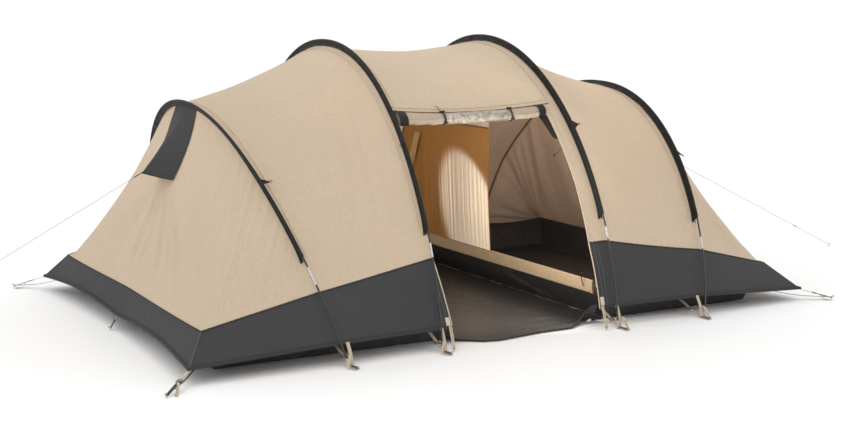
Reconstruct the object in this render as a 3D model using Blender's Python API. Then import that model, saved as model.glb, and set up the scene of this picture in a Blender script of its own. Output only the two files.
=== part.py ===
"""Four-arch tunnel tent with a side door and a sleeping cabin, pitched on level ground.

X runs along the tunnel, the side door faces -Y and Z is up. The origin is on the
ground in the middle of the tent. Lengths are in metres, angles round an arch run
from 0 at its front foot to pi at its back foot.
"""
import math

import bpy
import bmesh
import numpy as np

# Driving dimensions: the four poles, listed from left to right
ARCH_X = (-1.415, -0.720, 0.682, 1.430)
ARCH_HALF_WIDTH = (1.840, 1.800, 1.790, 1.800)
ARCH_HEIGHT = (1.600, 2.000, 2.000, 1.600)
ARCH_LEAN = (-0.265, 0.000, -0.030, 0.175)
ARCH_SHOULDER = (1.380, 1.200, 1.045, 1.350)
ARCH_FLANK = (0.965, 0.930, 0.985, 0.920)

# Heights round the tent, one for each arch
HEM_HEIGHT = (0.150, 0.150, 0.150, 0.150)
MUDWALL_HEIGHT = (0.480, 0.620, 0.620, 0.480)
SLEEVE_END_HEIGHT = (0.690, 0.800, 0.800, 0.690)
SHOULDER_HEIGHT = (1.245, 1.570, 1.570, 1.245)
FERRULE_LOW = (0.520, 0.624, 0.626, 0.476)
FERRULE_HIGH = (0.627, 0.715, 0.713, 0.556)

# The two sloping ends
END_X = (-2.457, 2.440)
END_HALF_WIDTH = (1.763, 1.670)
END_HEM_HEIGHT = (0.097, 0.080)
END_MUDWALL_HEIGHT = 0.300
END_TUCK = ((0.010, 0.045), (0.060, 0.060))
END_SCALLOP = 0.035
END_BOW = 0.080
END_SAG = 0.060
END_STEPS = 4

# Cloth, poles and gaps
CLOTH = 0.005
GAP = 0.0003
SEAT = 0.0006
POLE_RADIUS = 0.00635
FERRULE_RADIUS = 0.0072
TIP_RADIUS = 0.0075
TIP_LENGTH = 0.060
POLE_SIDES = 6
SLEEVE_UNDERSIDE = 0.040
SLEEVE_TOP = 0.0098
SLEEVE_HALF_THICKNESS = 0.0105
BAY_SAG = (0.038, 0.062, 0.050)

# The doorway in the middle bay, as x at four heights on each side
DOOR_HEIGHTS = (0.14, 0.60, 1.00, 1.57)
DOOR_LEFT_X = (-0.612, -0.698, -0.705, -0.680)
DOOR_RIGHT_X = (0.565, 0.531, 0.531, 0.512)
ROLL_SHARES = (0.00, 0.30, 0.315, 0.50, 0.685, 0.70, 1.00)
ROLL_HALF_HEIGHT = (0.064, 0.050, 0.044, 0.044, 0.044, 0.050, 0.053)
ROLL_HALF_DEPTH = 0.038
FILM = 0.005
ROLL_SIDES = 8

# Groundsheets and the sleeping cabin
FLOOR_HALF_WIDTH = 1.460
FLOOR_LEFT_X = -2.180
CABIN_FLOOR_X = (0.790, 2.060)
CABIN_RIM_X = (0.672, 2.120)
CABIN_RIM_HALF_WIDTH = 1.550
CABIN_RIM_HEIGHT = 0.240
CABIN_INSET = 0.085
CABIN_SETBACK = 0.0125
THRESHOLD_HEIGHTS = (0.200, 0.300)
RIM_HEIGHT = 0.140
RIM_SPREAD = 0.140
CABIN_HEADER_HEIGHT = 1.620
PANEL_EDGE = -0.090

# Anchors
WEBBING_WIDTH = 0.025
WEBBING = 0.002
PEG_RADIUS = 0.003
PEG_HEIGHT = 0.030
PEG_REACH = 0.090
CORNER_PEG_X = (-2.665, 2.665)
CORNER_PEG_Y = (1.950, 1.780)
GUY_RADIUS = 0.002
GUY_PEG_X = 4.250

# Vent hoods on the two ends
HOOD_TOP_HALF_WIDTH = 0.215
HOOD_FOOT_HALF_WIDTH = 0.165
HOOD_BOW = 0.052
HOOD_FOOT_HEIGHT = 1.060
HOOD_TIP_HEIGHT = 1.105
HOOD_REACH = 0.185
HOOD_CLOTH = 0.004

# Stations round an arch: hem, mudwall, sleeve and shoulder, then the same to the back
FLANK_STEPS = 4
CROWN_STEPS = 8
MUD_STATION = 2
SHOULDER_STATION = 3 + FLANK_STEPS
BACK_SHOULDER_STATION = SHOULDER_STATION + CROWN_STEPS
LAST_STATION = 2 * 3 + 2 * FLANK_STEPS + CROWN_STEPS
BACK_MUD_STATION = LAST_STATION - MUD_STATION


# Small vector helpers
def unit(v):
    return v / np.linalg.norm(v)


def mix(a, b, k):
    return a + (b - a) * k


def vec(x, y, z):
    return np.array([x, y, z], dtype=float)


# Materials: plain colours, one for each kind of cloth or fitting
def material(name, colour, roughness, metallic=0.0):
    found = bpy.data.materials.get(name)
    if found:
        return found
    made = bpy.data.materials.new(name)
    made.use_nodes = True
    shader = made.node_tree.nodes["Principled BSDF"]
    shader.inputs["Base Color"].default_value = (*colour, 1.0)
    shader.inputs["Roughness"].default_value = roughness
    shader.inputs["Metallic"].default_value = metallic
    made.diffuse_color = (*colour, 1.0)
    return made


def sand_cloth():
    return material("sand_cloth", (0.61, 0.50, 0.36), 0.85)


def mudwall_cloth():
    return material("mudwall_cloth", (0.075, 0.075, 0.078), 0.80)


def sleeve_cloth():
    return material("sleeve_cloth", (0.035, 0.034, 0.033), 0.85)


def groundsheet_cloth():
    return material("groundsheet_cloth", (0.030, 0.027, 0.025), 0.45)


def cabin_cloth():
    return material("cabin_cloth", (0.55, 0.42, 0.28), 0.85)


def ochre_cloth():
    return material("ochre_cloth", (0.33, 0.19, 0.07), 0.85)


def pole_material():
    return material("pole", (0.05, 0.05, 0.05), 0.40)


def webbing_material():
    return material("webbing", (0.58, 0.46, 0.32), 0.90)


def clear_film():
    return material("clear_film", (0.72, 0.68, 0.60), 0.20)


# Mesh building
def make_object(name, points, faces, look):
    """One closed body, with equal points welded and its faces turned outwards."""
    index = {}
    number = []
    kept = []
    for p in points:
        key = tuple(np.round(p, 7))
        if key not in index:
            index[key] = len(kept)
            kept.append(tuple(float(c) for c in p))
        number.append(index[key])
    clean = []
    for face in faces:
        ring = []
        for i in face:
            if not ring or ring[-1] != number[i]:
                ring.append(number[i])
        if len(ring) > 1 and ring[0] == ring[-1]:
            ring.pop()
        if len(set(ring)) > 2:
            clean.append(ring)
    mesh = bpy.data.meshes.new(name)
    mesh.from_pydata(kept, [], clean)
    bm = bmesh.new()
    bm.from_mesh(mesh)
    bmesh.ops.triangulate(bm, faces=bm.faces[:])
    bmesh.ops.recalc_face_normals(bm, faces=bm.faces[:])
    bm.to_mesh(mesh)
    bm.free()
    mesh.materials.append(look)
    made = bpy.data.objects.new(name, mesh)
    bpy.context.scene.collection.objects.link(made)
    return made


def trimmed(grid, sides):
    """Draw the named edges of a grid back by half a gap, along the sheet."""
    out = grid.copy()
    half = GAP / 2
    if "first_row" in sides:
        step = grid[1] - grid[0]
        out[0] += half * step / np.linalg.norm(step, axis=1, keepdims=True)
    if "last_row" in sides:
        step = grid[-2] - grid[-1]
        out[-1] += half * step / np.linalg.norm(step, axis=1, keepdims=True)
    if "first_column" in sides:
        step = grid[:, 1] - grid[:, 0]
        out[:, 0] += half * step / np.linalg.norm(step, axis=1, keepdims=True)
    if "last_column" in sides:
        step = grid[:, -2] - grid[:, -1]
        out[:, -1] += half * step / np.linalg.norm(step, axis=1, keepdims=True)
    return out


def cloth_shell(name, grid, outward, look, trim=(), holes=(), thickness=CLOTH):
    """A sheet of cloth: the grid is its outer face, and its thickness goes inwards."""
    rows, columns = grid.shape[:2]
    outer = trimmed(grid, trim)
    inner = outer - outward * thickness
    points = list(outer.reshape(-1, 3)) + list(inner.reshape(-1, 3))
    back = rows * columns
    faces = []
    edges = {}
    for r in range(rows - 1):
        for c in range(columns - 1):
            if (r, c) in holes:
                continue
            a = r * columns + c
            quad = (a, a + 1, a + 1 + columns, a + columns)
            faces.append(quad)
            faces.append(tuple(i + back for i in reversed(quad)))
            for i in range(4):
                edge = (quad[i], quad[(i + 1) % 4])
                edges[edge] = True
    for first, second in edges:
        if (second, first) not in edges:
            faces.append((second, first, first + back, second + back))
    return make_object(name, points, faces, look)


def tube(name, rings, look, bore=None):
    """Rings joined along their length, closed at both ends or open round a bore."""
    count = len(rings)
    sides = len(rings[0])
    points = [p for ring in rings for p in ring]
    faces = []
    for r in range(count - 1):
        for s in range(sides):
            a = r * sides + s
            b = r * sides + (s + 1) % sides
            faces.append((a, b, b + sides, a + sides))
    if bore is None:
        faces.append(tuple(reversed(range(sides))))
        faces.append(tuple((count - 1) * sides + s for s in range(sides)))
        return make_object(name, points, faces, look)
    start = len(points)
    points += [p for ring in bore for p in ring]
    inner = len(bore[0])
    for r in range(count - 1):
        for s in range(inner):
            a = start + r * inner + s
            b = start + r * inner + (s + 1) % inner
            faces.append((b, a, a + inner, b + inner))
    for r in (0, count - 1):
        outer_ring = [r * sides + s for s in range(sides)]
        inner_ring = [start + r * inner + s for s in range(inner)]
        faces += ring_band(points, outer_ring, inner_ring)
    return make_object(name, points, faces, look)


def ring_band(points, outer_ring, inner_ring):
    """Triangles between two rings of different counts that turn the same way."""
    centre = np.mean([points[i] for i in inner_ring], axis=0)
    axis_u = unit(points[outer_ring[0]] - centre)
    axis_w = unit(np.cross(axis_u, points[outer_ring[2]] - centre))
    axis_v = np.cross(axis_w, axis_u)

    def bearing(i):
        step = points[i] - centre
        return math.atan2(step @ axis_v, step @ axis_u) % (2 * math.pi)

    outer = sorted(outer_ring, key=bearing)
    inner = sorted(inner_ring, key=bearing)
    faces = []
    i = 0
    j = 0
    while i < len(outer) or j < len(inner):
        next_outer = bearing(outer[(i + 1) % len(outer)]) + (2 * math.pi if i + 1 >= len(outer) else 0)
        next_inner = bearing(inner[(j + 1) % len(inner)]) + (2 * math.pi if j + 1 >= len(inner) else 0)
        here_outer = outer[i % len(outer)]
        here_inner = inner[j % len(inner)]
        if j >= len(inner) or (i < len(outer) and next_outer <= next_inner):
            faces.append((here_outer, outer[(i + 1) % len(outer)], here_inner))
            i += 1
        else:
            faces.append((here_outer, inner[(j + 1) % len(inner)], here_inner))
            j += 1
    return faces


def add_union(target, extra):
    """Weld a second closed body onto the first."""
    extra.hide_render = True
    extra.display_type = "WIRE"
    joined = target.modifiers.new("Union " + extra.name, "BOOLEAN")
    joined.operation = "UNION"
    joined.object = extra


# The arches
def arch_point(k, t):
    c = math.cos(t)
    z = ARCH_HEIGHT[k] * abs(math.sin(t)) ** ARCH_SHOULDER[k]
    y = -math.copysign(abs(c) ** ARCH_FLANK[k], c) * ARCH_HALF_WIDTH[k]
    return vec(ARCH_X[k] + ARCH_LEAN[k] * z, y, z)


def arch_angle(k, height):
    return math.asin((height / ARCH_HEIGHT[k]) ** (1 / ARCH_SHOULDER[k]))


def arch_tangent(k, t):
    step = 0.004
    low = max(t - step, 0.0)
    high = min(t + step, math.pi)
    return unit(arch_point(k, high) - arch_point(k, low))


def end_outline(end, t):
    """The point of an end's hem that the cloth from angle t of its arch runs to."""
    k = 0 if end == 0 else 3
    shoulder = arch_angle(k, SHOULDER_HEIGHT[k])
    share = (t - shoulder) / (math.pi - 2 * shoulder)
    share = min(max(share, 0.0), 1.0)
    lift = END_SCALLOP * abs(math.sin(2 * math.pi * share))
    bow = END_BOW * 4 * share * (1 - share)
    y = mix(-END_HALF_WIDTH[end], END_HALF_WIDTH[end], share)
    return vec(END_X[end] - math.copysign(bow, END_X[end]), y, END_HEM_HEIGHT[end] + lift)


def ridge_frame(k, t):
    """The pole's centre, its direction, the way across it and the way out of the tent."""
    here = arch_point(k, t)
    along = arch_tangent(k, t)
    left = end_outline(0, t) if k == 0 else arch_point(k - 1, t)
    right = end_outline(1, t) if k == 3 else arch_point(k + 1, t)
    to_left = left - here
    to_right = right - here
    to_left = unit(to_left - along * (to_left @ along))
    to_right = unit(to_right - along * (to_right @ along))
    across = unit(to_right - to_left)
    return here, along, across, np.cross(across, along)


def fly_edge(k, t):
    """The outer face of the fly under pole k, and the way out of the tent there."""
    here, _, _, out = ridge_frame(k, t)
    return here - out * (SLEEVE_UNDERSIDE + GAP), out


def flank_angles(k, low, high, steps):
    return list(np.linspace(arch_angle(k, low), arch_angle(k, high), steps + 1))


def sleeve_angles(k):
    """Angles of the sleeve's rings, front to back, twice as close as the fly's stations."""
    front = flank_angles(k, SLEEVE_END_HEIGHT[k], SHOULDER_HEIGHT[k], 2 * FLANK_STEPS)
    shoulder = front[-1]
    crown = list(np.linspace(shoulder, math.pi - shoulder, 2 * CROWN_STEPS + 1))
    return front + crown[1:] + [math.pi - t for t in reversed(front)][1:]


def station_angles(k):
    """Angles of the cloth's stations: hem, half mudwall, mudwall, then the sleeve's."""
    low = flank_angles(k, HEM_HEIGHT[k], MUDWALL_HEIGHT[k], 2)
    return low + sleeve_angles(k)[::2] + [math.pi - t for t in reversed(low)]


STATIONS = [station_angles(k) for k in range(4)]


def station(k, i):
    return fly_edge(k, STATIONS[k][i])


# Poles and their sleeves
def ring_round(k, t, radius, sides=POLE_SIDES):
    here, _, across, out = ridge_frame(k, t)
    ring = []
    for s in range(sides):
        turn = 2 * math.pi * s / sides
        ring.append(here + radius * (math.cos(turn) * across + math.sin(turn) * out))
    return ring


def ground_ring(k, t):
    """The pole's last ring, cut off level with the ground."""
    along = arch_tangent(k, t)
    return [p - along * (p[2] / along[2]) for p in ring_round(k, t, TIP_RADIUS)]


def pole_radius(k, height):
    if height <= TIP_LENGTH:
        return TIP_RADIUS
    if FERRULE_LOW[k] <= height <= FERRULE_HIGH[k]:
        return FERRULE_RADIUS
    return POLE_RADIUS


def make_pole(k):
    """A rod from ground to ground, with a ferrule and a tip near each foot."""
    collar = 0.002
    heights = [TIP_LENGTH, TIP_LENGTH + collar, FERRULE_LOW[k] - collar, FERRULE_LOW[k],
               FERRULE_HIGH[k], FERRULE_HIGH[k] + collar]
    low = {arch_angle(k, height): pole_radius(k, height) for height in heights}
    for t in STATIONS[k][:MUD_STATION + 1]:
        low[t] = pole_radius(k, arch_point(k, t)[2])
    front = sorted(low.items())
    foot = arch_angle(k, 0.012)
    rings = [ground_ring(k, foot)]
    rings += [ring_round(k, t, radius) for t, radius in front]
    rings += [ring_round(k, t, POLE_RADIUS) for t in sleeve_angles(k)]
    rings += [ring_round(k, math.pi - t, radius) for t, radius in reversed(front)]
    rings.append(ground_ring(k, math.pi - foot))
    return tube("pole_%d" % (k + 1), rings, pole_material())


def make_sleeve(k):
    """A fin of folded cloth that stands on the fly, with the pole in its outer edge."""
    half = SLEEVE_HALF_THICKNESS
    side = ((0.003, -SLEEVE_UNDERSIDE), (0.0045, -0.016), (half, -0.004), (half, 0.004), (0.005, SLEEVE_TOP))
    outline = [(-side[0][0], side[0][1])] + list(side) + [(-a, b) for a, b in reversed(side[1:])]
    rings = []
    bore = []
    for t in sleeve_angles(k):
        here, _, across, out = ridge_frame(k, t)
        rings.append([here + a * across + b * out for a, b in outline])
        bore.append(ring_round(k, t, POLE_RADIUS + GAP))
    return tube("sleeve_%d" % (k + 1), rings, sleeve_cloth(), bore)


# The fly's bays between two arches
def sag_share(i):
    """The cloth sags most over the crown and least at the hem."""
    return 0.30 + 0.70 * math.sin(math.pi * i / LAST_STATION)


def bay_point(bay, u, i):
    left, left_out = station(bay, i)
    right, right_out = station(bay + 1, i)
    out = unit(mix(left_out, right_out, u))
    sag = BAY_SAG[bay] * sag_share(i) * 4 * u * (1 - u)
    return mix(left, right, u) - out * sag, out


def door_share(i, edge_x):
    """Where the doorway's edge crosses station i of the middle bay, from 0 to 1."""
    left, _ = station(1, i)
    right, _ = station(2, i)
    x = np.interp(left[2], DOOR_HEIGHTS, edge_x)
    return (x - left[0]) / (right[0] - left[0])


def bay_columns(bay, i):
    if bay != 1:
        return np.linspace(0, 1, 5)
    near = min(i, LAST_STATION - i)
    if i <= SHOULDER_STATION:
        left = door_share(near, DOOR_LEFT_X)
        right = door_share(near, DOOR_RIGHT_X)
    else:
        left = 0.12
        right = 0.88
    return np.array([0, left, 0.3, 0.5, 0.7, right, 1])


def make_bay(bay, name):
    rows = range(MUD_STATION, BACK_MUD_STATION + 1)
    pairs = [[bay_point(bay, u, i) for u in bay_columns(bay, i)] for i in rows]
    grid = np.array([[p for p, _ in row] for row in pairs])
    outward = np.array([[o for _, o in row] for row in pairs])
    holes = set()
    if bay == 1:
        doorway = range(SHOULDER_STATION - MUD_STATION)
        holes = {(r, c) for r in doorway for c in range(1, 5)}
    sides = ("first_row", "last_row", "first_column", "last_column")
    return cloth_shell(name, grid, outward, sand_cloth(), sides, holes)


# The fly's two ends
def corner_out(end, share):
    side = -1 if end == 0 else 1
    return unit(vec(side, 2 * share - 1, 0.45))


def crown_share(i):
    share = (i - SHOULDER_STATION) / CROWN_STEPS
    return min(max(share, 0.0), 1.0)


def end_arch(end):
    return 0 if end == 0 else 3


def mud_seam(end, i):
    """The seam between an end and its mudwall, at station i of the end's arch."""
    k = end_arch(end)
    share = crown_share(i)
    top, top_out = station(k, min(max(i, SHOULDER_STATION), BACK_SHOULDER_STATION))
    foot = end_outline(end, STATIONS[k][i])
    rise = (END_MUDWALL_HEIGHT - foot[2]) / (top[2] - foot[2])
    tuck = mix(END_TUCK[end][0], END_TUCK[end][1], share) * (2 * share - 1) ** 2
    seam = mix(foot, top, rise) - corner_out(end, share) * tuck
    seam_out = unit(mix(corner_out(end, share), top_out, rise))
    flank = 0.0
    if i < SHOULDER_STATION:
        flank = (SHOULDER_STATION - i) / (SHOULDER_STATION - MUD_STATION)
        mud, mud_out = station(k, MUD_STATION)
    if i > BACK_SHOULDER_STATION:
        flank = (i - BACK_SHOULDER_STATION) / (BACK_MUD_STATION - BACK_SHOULDER_STATION)
        mud, mud_out = station(k, BACK_MUD_STATION)
    if flank:
        seam = mix(seam, mud, flank)
        seam_out = unit(mix(seam_out, mud_out, flank))
    return seam, seam_out


def ray(start, start_out, end, end_out, steps):
    shares = np.linspace(0, 1, steps + 1)
    points = [mix(start, end, s) for s in shares]
    outs = [unit(mix(start_out, end_out, s)) for s in shares]
    return points, outs


def end_sag(share):
    """How far an end's cloth hangs in from a straight line, as facets, at a share of the way up."""
    places = np.linspace(0, 1, END_STEPS + 1)
    return END_SAG * np.interp(share, places, 4 * places * (1 - places))


def hanging_ray(start, start_out, end, end_out):
    """A ray whose middle hangs in, and less so where the ray is short."""
    points, outs = ray(start, start_out, end, end_out, END_STEPS)
    slack = min(np.linalg.norm(end - start), 1.0)
    sags = [end_sag(n / END_STEPS) * slack for n in range(END_STEPS + 1)]
    return [p - out * sag for p, out, sag in zip(points, outs, sags)], outs


def make_end(end, name):
    k = end_arch(end)
    nib = 0.04
    grid = []
    outward = []
    for i in range(MUD_STATION, BACK_MUD_STATION + 1):
        seam, seam_out = mud_seam(end, i)
        top, top_out = station(k, i)
        if i in (MUD_STATION, BACK_MUD_STATION):
            inward = 1 if i == MUD_STATION else -1
            next_seam, next_out = mud_seam(end, i + inward)
            next_top, next_top_out = station(k, i + inward)
            seam = mix(seam, next_seam, nib)
            top = mix(top, next_top, nib)
        points, outs = hanging_ray(seam, seam_out, top, top_out)
        grid.append(points)
        outward.append(outs)
    sides = ("first_column", "last_column")
    return cloth_shell(name, np.array(grid), np.array(outward), sand_cloth(), sides)


# Mudwalls: the dark skirt under the fly
def corner_column(end, back):
    i = BACK_SHOULDER_STATION if back else SHOULDER_STATION
    foot = end_outline(end, STATIONS[end_arch(end)][i])
    seam, seam_out = mud_seam(end, i)
    return ray(foot, corner_out(end, 1.0 if back else 0.0), seam, seam_out, 2)


def low_stations(back):
    if back:
        return (LAST_STATION, LAST_STATION - 1, LAST_STATION - 2)
    return (0, 1, 2)


def bay_column_at(bay, column, back):
    """One of the bay's own columns, from the hem up to the mudwall's top."""
    pairs = [bay_point(bay, bay_columns(bay, i)[column], i) for i in low_stations(back)]
    return [p for p, _ in pairs], [o for _, o in pairs]


def bay_run(bay, back, first=0, last=None):
    count = len(bay_columns(bay, 0))
    last = count - 1 if last is None else last
    return [bay_column_at(bay, column, back) for column in range(first, last + 1)]


def make_mudwall(name, columns):
    grid = np.array([points for points, _ in columns])
    outward = np.array([outs for _, outs in columns])
    return cloth_shell(name, grid, outward, mudwall_cloth(), ("first_row", "last_row", "last_column"))


def make_mudwalls():
    front_left = [corner_column(0, False)] + bay_run(0, False) + bay_run(1, False, 1, 1)
    front_right = bay_run(1, False, 5, 5) + bay_run(2, False) + [corner_column(1, False)]
    back = [corner_column(0, True)] + bay_run(0, True) + bay_run(1, True)[1:]
    back += bay_run(2, True)[1:] + [corner_column(1, True)]
    make_mudwall("mudwall_front_left", front_left)
    make_mudwall("mudwall_front_right", front_right)
    make_mudwall("mudwall_back", back)
    for end, name in ((0, "mudwall_left_end"), (1, "mudwall_right_end")):
        k = end_arch(end)
        columns = []
        for i in range(SHOULDER_STATION, BACK_SHOULDER_STATION + 1):
            foot = end_outline(end, STATIONS[k][i])
            seam, seam_out = mud_seam(end, i)
            columns.append(ray(foot, corner_out(end, crown_share(i)), seam, seam_out, 2))
        make_mudwall(name, columns)


# Trays: a flat floor with a rim that leans outwards
def make_tray(name, outline, look):
    """outline: x, y, outward x, outward y, rim spread and rim height, round the floor."""
    outer_foot = []
    outer_top = []
    inner_top = []
    inner_foot = []
    for x, y, ox, oy, spread, height in outline:
        out = vec(ox, oy, 0)
        foot = vec(x, y, 0)
        outer_foot.append(foot)
        outer_top.append(foot + out * spread + vec(0, 0, height))
        inner_top.append(foot + out * (spread - CLOTH) + vec(0, 0, height))
        inner_foot.append(foot - out * CLOTH + vec(0, 0, min(CLOTH, height)))
    count = len(outline)
    rings = (outer_foot, outer_top, inner_top, inner_foot)
    points = [p for ring in rings for p in ring]
    faces = [tuple(reversed(range(count))), tuple(3 * count + i for i in range(count))]
    for r in range(3):
        for i in range(count):
            a = r * count + i
            b = r * count + (i + 1) % count
            faces.append((a, b, b + count, a + count))
    return make_object(name, points, faces, look)


def make_groundsheet():
    """The living area's floor, with its rim let down flat across the doorway."""
    w = FLOOR_HALF_WIDTH
    low = CLOTH + 0.003
    lean = (CABIN_FLOOR_X[0] - CABIN_RIM_X[0]) / THRESHOLD_HEIGHTS[0]
    right = CABIN_FLOOR_X[0] - low * lean - SEAT
    rim_end = 0.640
    outline = [(FLOOR_LEFT_X, -w, -1, -1, RIM_SPREAD, RIM_HEIGHT),
               (-0.560, -w, 0, -1, RIM_SPREAD, RIM_HEIGHT),
               (-0.500, -w - 0.14, -0.5, -1, 0.01, low),
               (-0.330, -w - 0.22, -0.2, -1, 0.01, low),
               (0.070, -w - 0.24, 0, -1, 0.01, low),
               (0.400, -w - 0.22, 0.2, -1, 0.01, low),
               (0.540, -w - 0.14, 0.5, -1, 0.01, low),
               (0.590, -w, 0, -1, RIM_SPREAD, RIM_HEIGHT),
               (rim_end, -w, 0, -1, RIM_SPREAD, RIM_HEIGHT),
               (rim_end + 0.04, -w, 0, -1, 0.01, low),
               (right, -w, 1, -1, 0.0, low),
               (right, w, 1, 1, 0.0, low),
               (rim_end + 0.04, w, 0, 1, 0.01, low),
               (rim_end, w, 0, 1, RIM_SPREAD, RIM_HEIGHT),
               (FLOOR_LEFT_X, w, -1, 1, RIM_SPREAD, RIM_HEIGHT)]
    return make_tray("groundsheet", outline, groundsheet_cloth())


def make_cabin_tray():
    """The cabin's waterproof floor, whose front wall leans out under the threshold."""
    w = FLOOR_HALF_WIDTH
    spread = CABIN_RIM_HALF_WIDTH - w
    front = (CABIN_FLOOR_X[0] - CABIN_RIM_X[0]) / spread
    back = (CABIN_RIM_X[1] - CABIN_FLOOR_X[1]) / spread
    low = THRESHOLD_HEIGHTS[0]
    high = CABIN_RIM_HEIGHT
    outline = [(CABIN_FLOOR_X[0], -w, -front, -1, spread, low),
               (CABIN_FLOOR_X[1], -w, back, -1, spread, high),
               (CABIN_FLOOR_X[1], w, back, 1, spread, high),
               (CABIN_FLOOR_X[0], w, -front, 1, spread, low)]
    return make_tray("cabin_groundsheet", outline, groundsheet_cloth())


# The sleeping cabin
def cabin_inset(height):
    lean = 0.165 * max(0.0, 1 - height / 0.9)
    return CABIN_INSET + lean


def cabin_front_x(height):
    """The plane of the cabin's front, just inside the third arch's own."""
    return ARCH_X[2] + ARCH_LEAN[2] * height - CABIN_SETBACK


def cabin_point(k, t):
    here, out = fly_edge(k, t)
    return here - out * cabin_inset(here[2]), out


def cabin_front_point(t):
    """The canopy's front edge, against the back of the cabin's front wall."""
    here, out = cabin_point(2, t)
    out = unit(vec(0, out[1], out[2]))
    return vec(cabin_front_x(here[2]) + SEAT, here[1], here[2]), out


def cabin_low_angle(k):
    """The angle at which the cabin's wall meets the top of its tray's rim."""
    angles = np.linspace(arch_angle(k, 0.25), arch_angle(k, 0.45), 41)
    heights = [cabin_point(k, t)[0][2] for t in angles]
    return float(np.interp(CABIN_RIM_HEIGHT + 0.016, heights, angles))


def cabin_angles(k):
    low = cabin_low_angle(k)
    return [low] + STATIONS[k][MUD_STATION:BACK_MUD_STATION + 1] + [math.pi - low]


def make_cabin_canopy():
    front = [cabin_front_point(t) for t in cabin_angles(2)]
    back = [cabin_point(3, t) for t in cabin_angles(3)]
    grid = []
    outward = []
    for (a, a_out), (b, b_out) in zip(front, back):
        points, outs = ray(a, a_out, b, b_out, 2)
        grid.append(points)
        outward.append(outs)
    return cloth_shell("cabin_canopy", np.array(grid), np.array(outward), cabin_cloth(), ("last_column",))


def make_cabin_end():
    angles = cabin_angles(3)
    shoulder = STATIONS[3][SHOULDER_STATION]
    grid = []
    outward = []
    for t in angles:
        top, top_out = cabin_point(3, t)
        share = min(max((t - shoulder) / (math.pi - 2 * shoulder), 0.0), 1.0)
        y = mix(-CABIN_RIM_HALF_WIDTH, CABIN_RIM_HALF_WIDTH, share)
        foot = vec(CABIN_RIM_X[1], y, CABIN_RIM_HEIGHT + CLOTH / 2 + GAP)
        points, outs = hanging_ray(foot, corner_out(1, share), top, top_out)
        grid.append(points)
        outward.append(outs)
    return cloth_shell("cabin_end_wall", np.array(grid), np.array(outward), cabin_cloth(), ("last_column",))


def flat_panel(name, outline, offset, look):
    """A panel in the plane of the cabin's front, given by its y and z corners."""
    front = []
    back = []
    for y, z in outline:
        x = cabin_front_x(z) + offset
        front.append(vec(x - CLOTH, y, z))
        back.append(vec(x, y, z))
    count = len(outline)
    faces = [tuple(reversed(range(count))), tuple(count + i for i in range(count))]
    for i in range(count):
        j = (i + 1) % count
        faces.append((i, j, j + count, i + count))
    return make_object(name, front + back, faces, look)


def fly_over_front(i):
    """The fly's outer face over the cabin's front wall, at station i."""
    edge, edge_out = bay_point(1, 1.0, i)
    column, column_out = bay_point(1, bay_columns(1, i)[-2], i)
    share = (cabin_front_x(edge[2]) - CLOTH - edge[0]) / (column[0] - edge[0])
    return mix(edge, column, share), unit(mix(edge_out, column_out, share))


def make_cabin_front():
    """The closed half of the cabin's front, with the header over its open half."""
    clearance = CLOTH + 0.0004
    outline = []
    for i in range(LAST_STATION, -1, -1):
        here, out = fly_over_front(i)
        lean = cabin_inset(here[2]) - CABIN_INSET
        p = here - out * (clearance + lean)
        if p[2] < THRESHOLD_HEIGHTS[1] + 0.01:
            continue
        if p[1] < 0 and p[2] < CABIN_HEADER_HEIGHT + 0.02:
            continue
        outline.append((p[1], p[2]))
    bottom = THRESHOLD_HEIGHTS[1] + SEAT
    header = CABIN_HEADER_HEIGHT
    far_y = CABIN_RIM_HALF_WIDTH
    edge = PANEL_EDGE
    outline = [(far_y, bottom)] + outline + [(outline[-1][0] - 0.02, header), (edge, header), (edge, bottom)]
    return flat_panel("cabin_front_wall", outline, -GAP, ochre_cloth())


def make_threshold():
    low, high = THRESHOLD_HEIGHTS
    low += SEAT
    y = CABIN_RIM_HALF_WIDTH - 0.055
    outline = [(-y, low), (-y, high), (y, high), (y, low)]
    return flat_panel("cabin_threshold", outline, 0.013, webbing_material())


# The rolled-up door under the doorway's top edge
def lintel_point(u):
    here, out = bay_point(1, u, SHOULDER_STATION)
    above, _ = bay_point(1, u, SHOULDER_STATION + 1)
    down = unit(here - above)
    return here - out * CLOTH / 2, down, out


def roll_ring(u, half_height, half_depth):
    """A ring of the roll, whose middle hangs the same way below the doorway's top edge."""
    rim, down, out = lintel_point(u)
    drop = max(half_height, ROLL_HALF_HEIGHT[2] + FILM + GAP)
    centre = rim + down * (flat_radius(drop) + SEAT)
    ring = []
    for s in range(ROLL_SIDES):
        turn = 2 * math.pi * (s + 0.5) / ROLL_SIDES
        ring.append(centre + half_height * math.cos(turn) * down + half_depth * math.sin(turn) * out)
    return ring


def flat_radius(radius):
    """From a roll's middle to the middle of one of its flat sides."""
    return radius * math.cos(math.pi / ROLL_SIDES)


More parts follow.
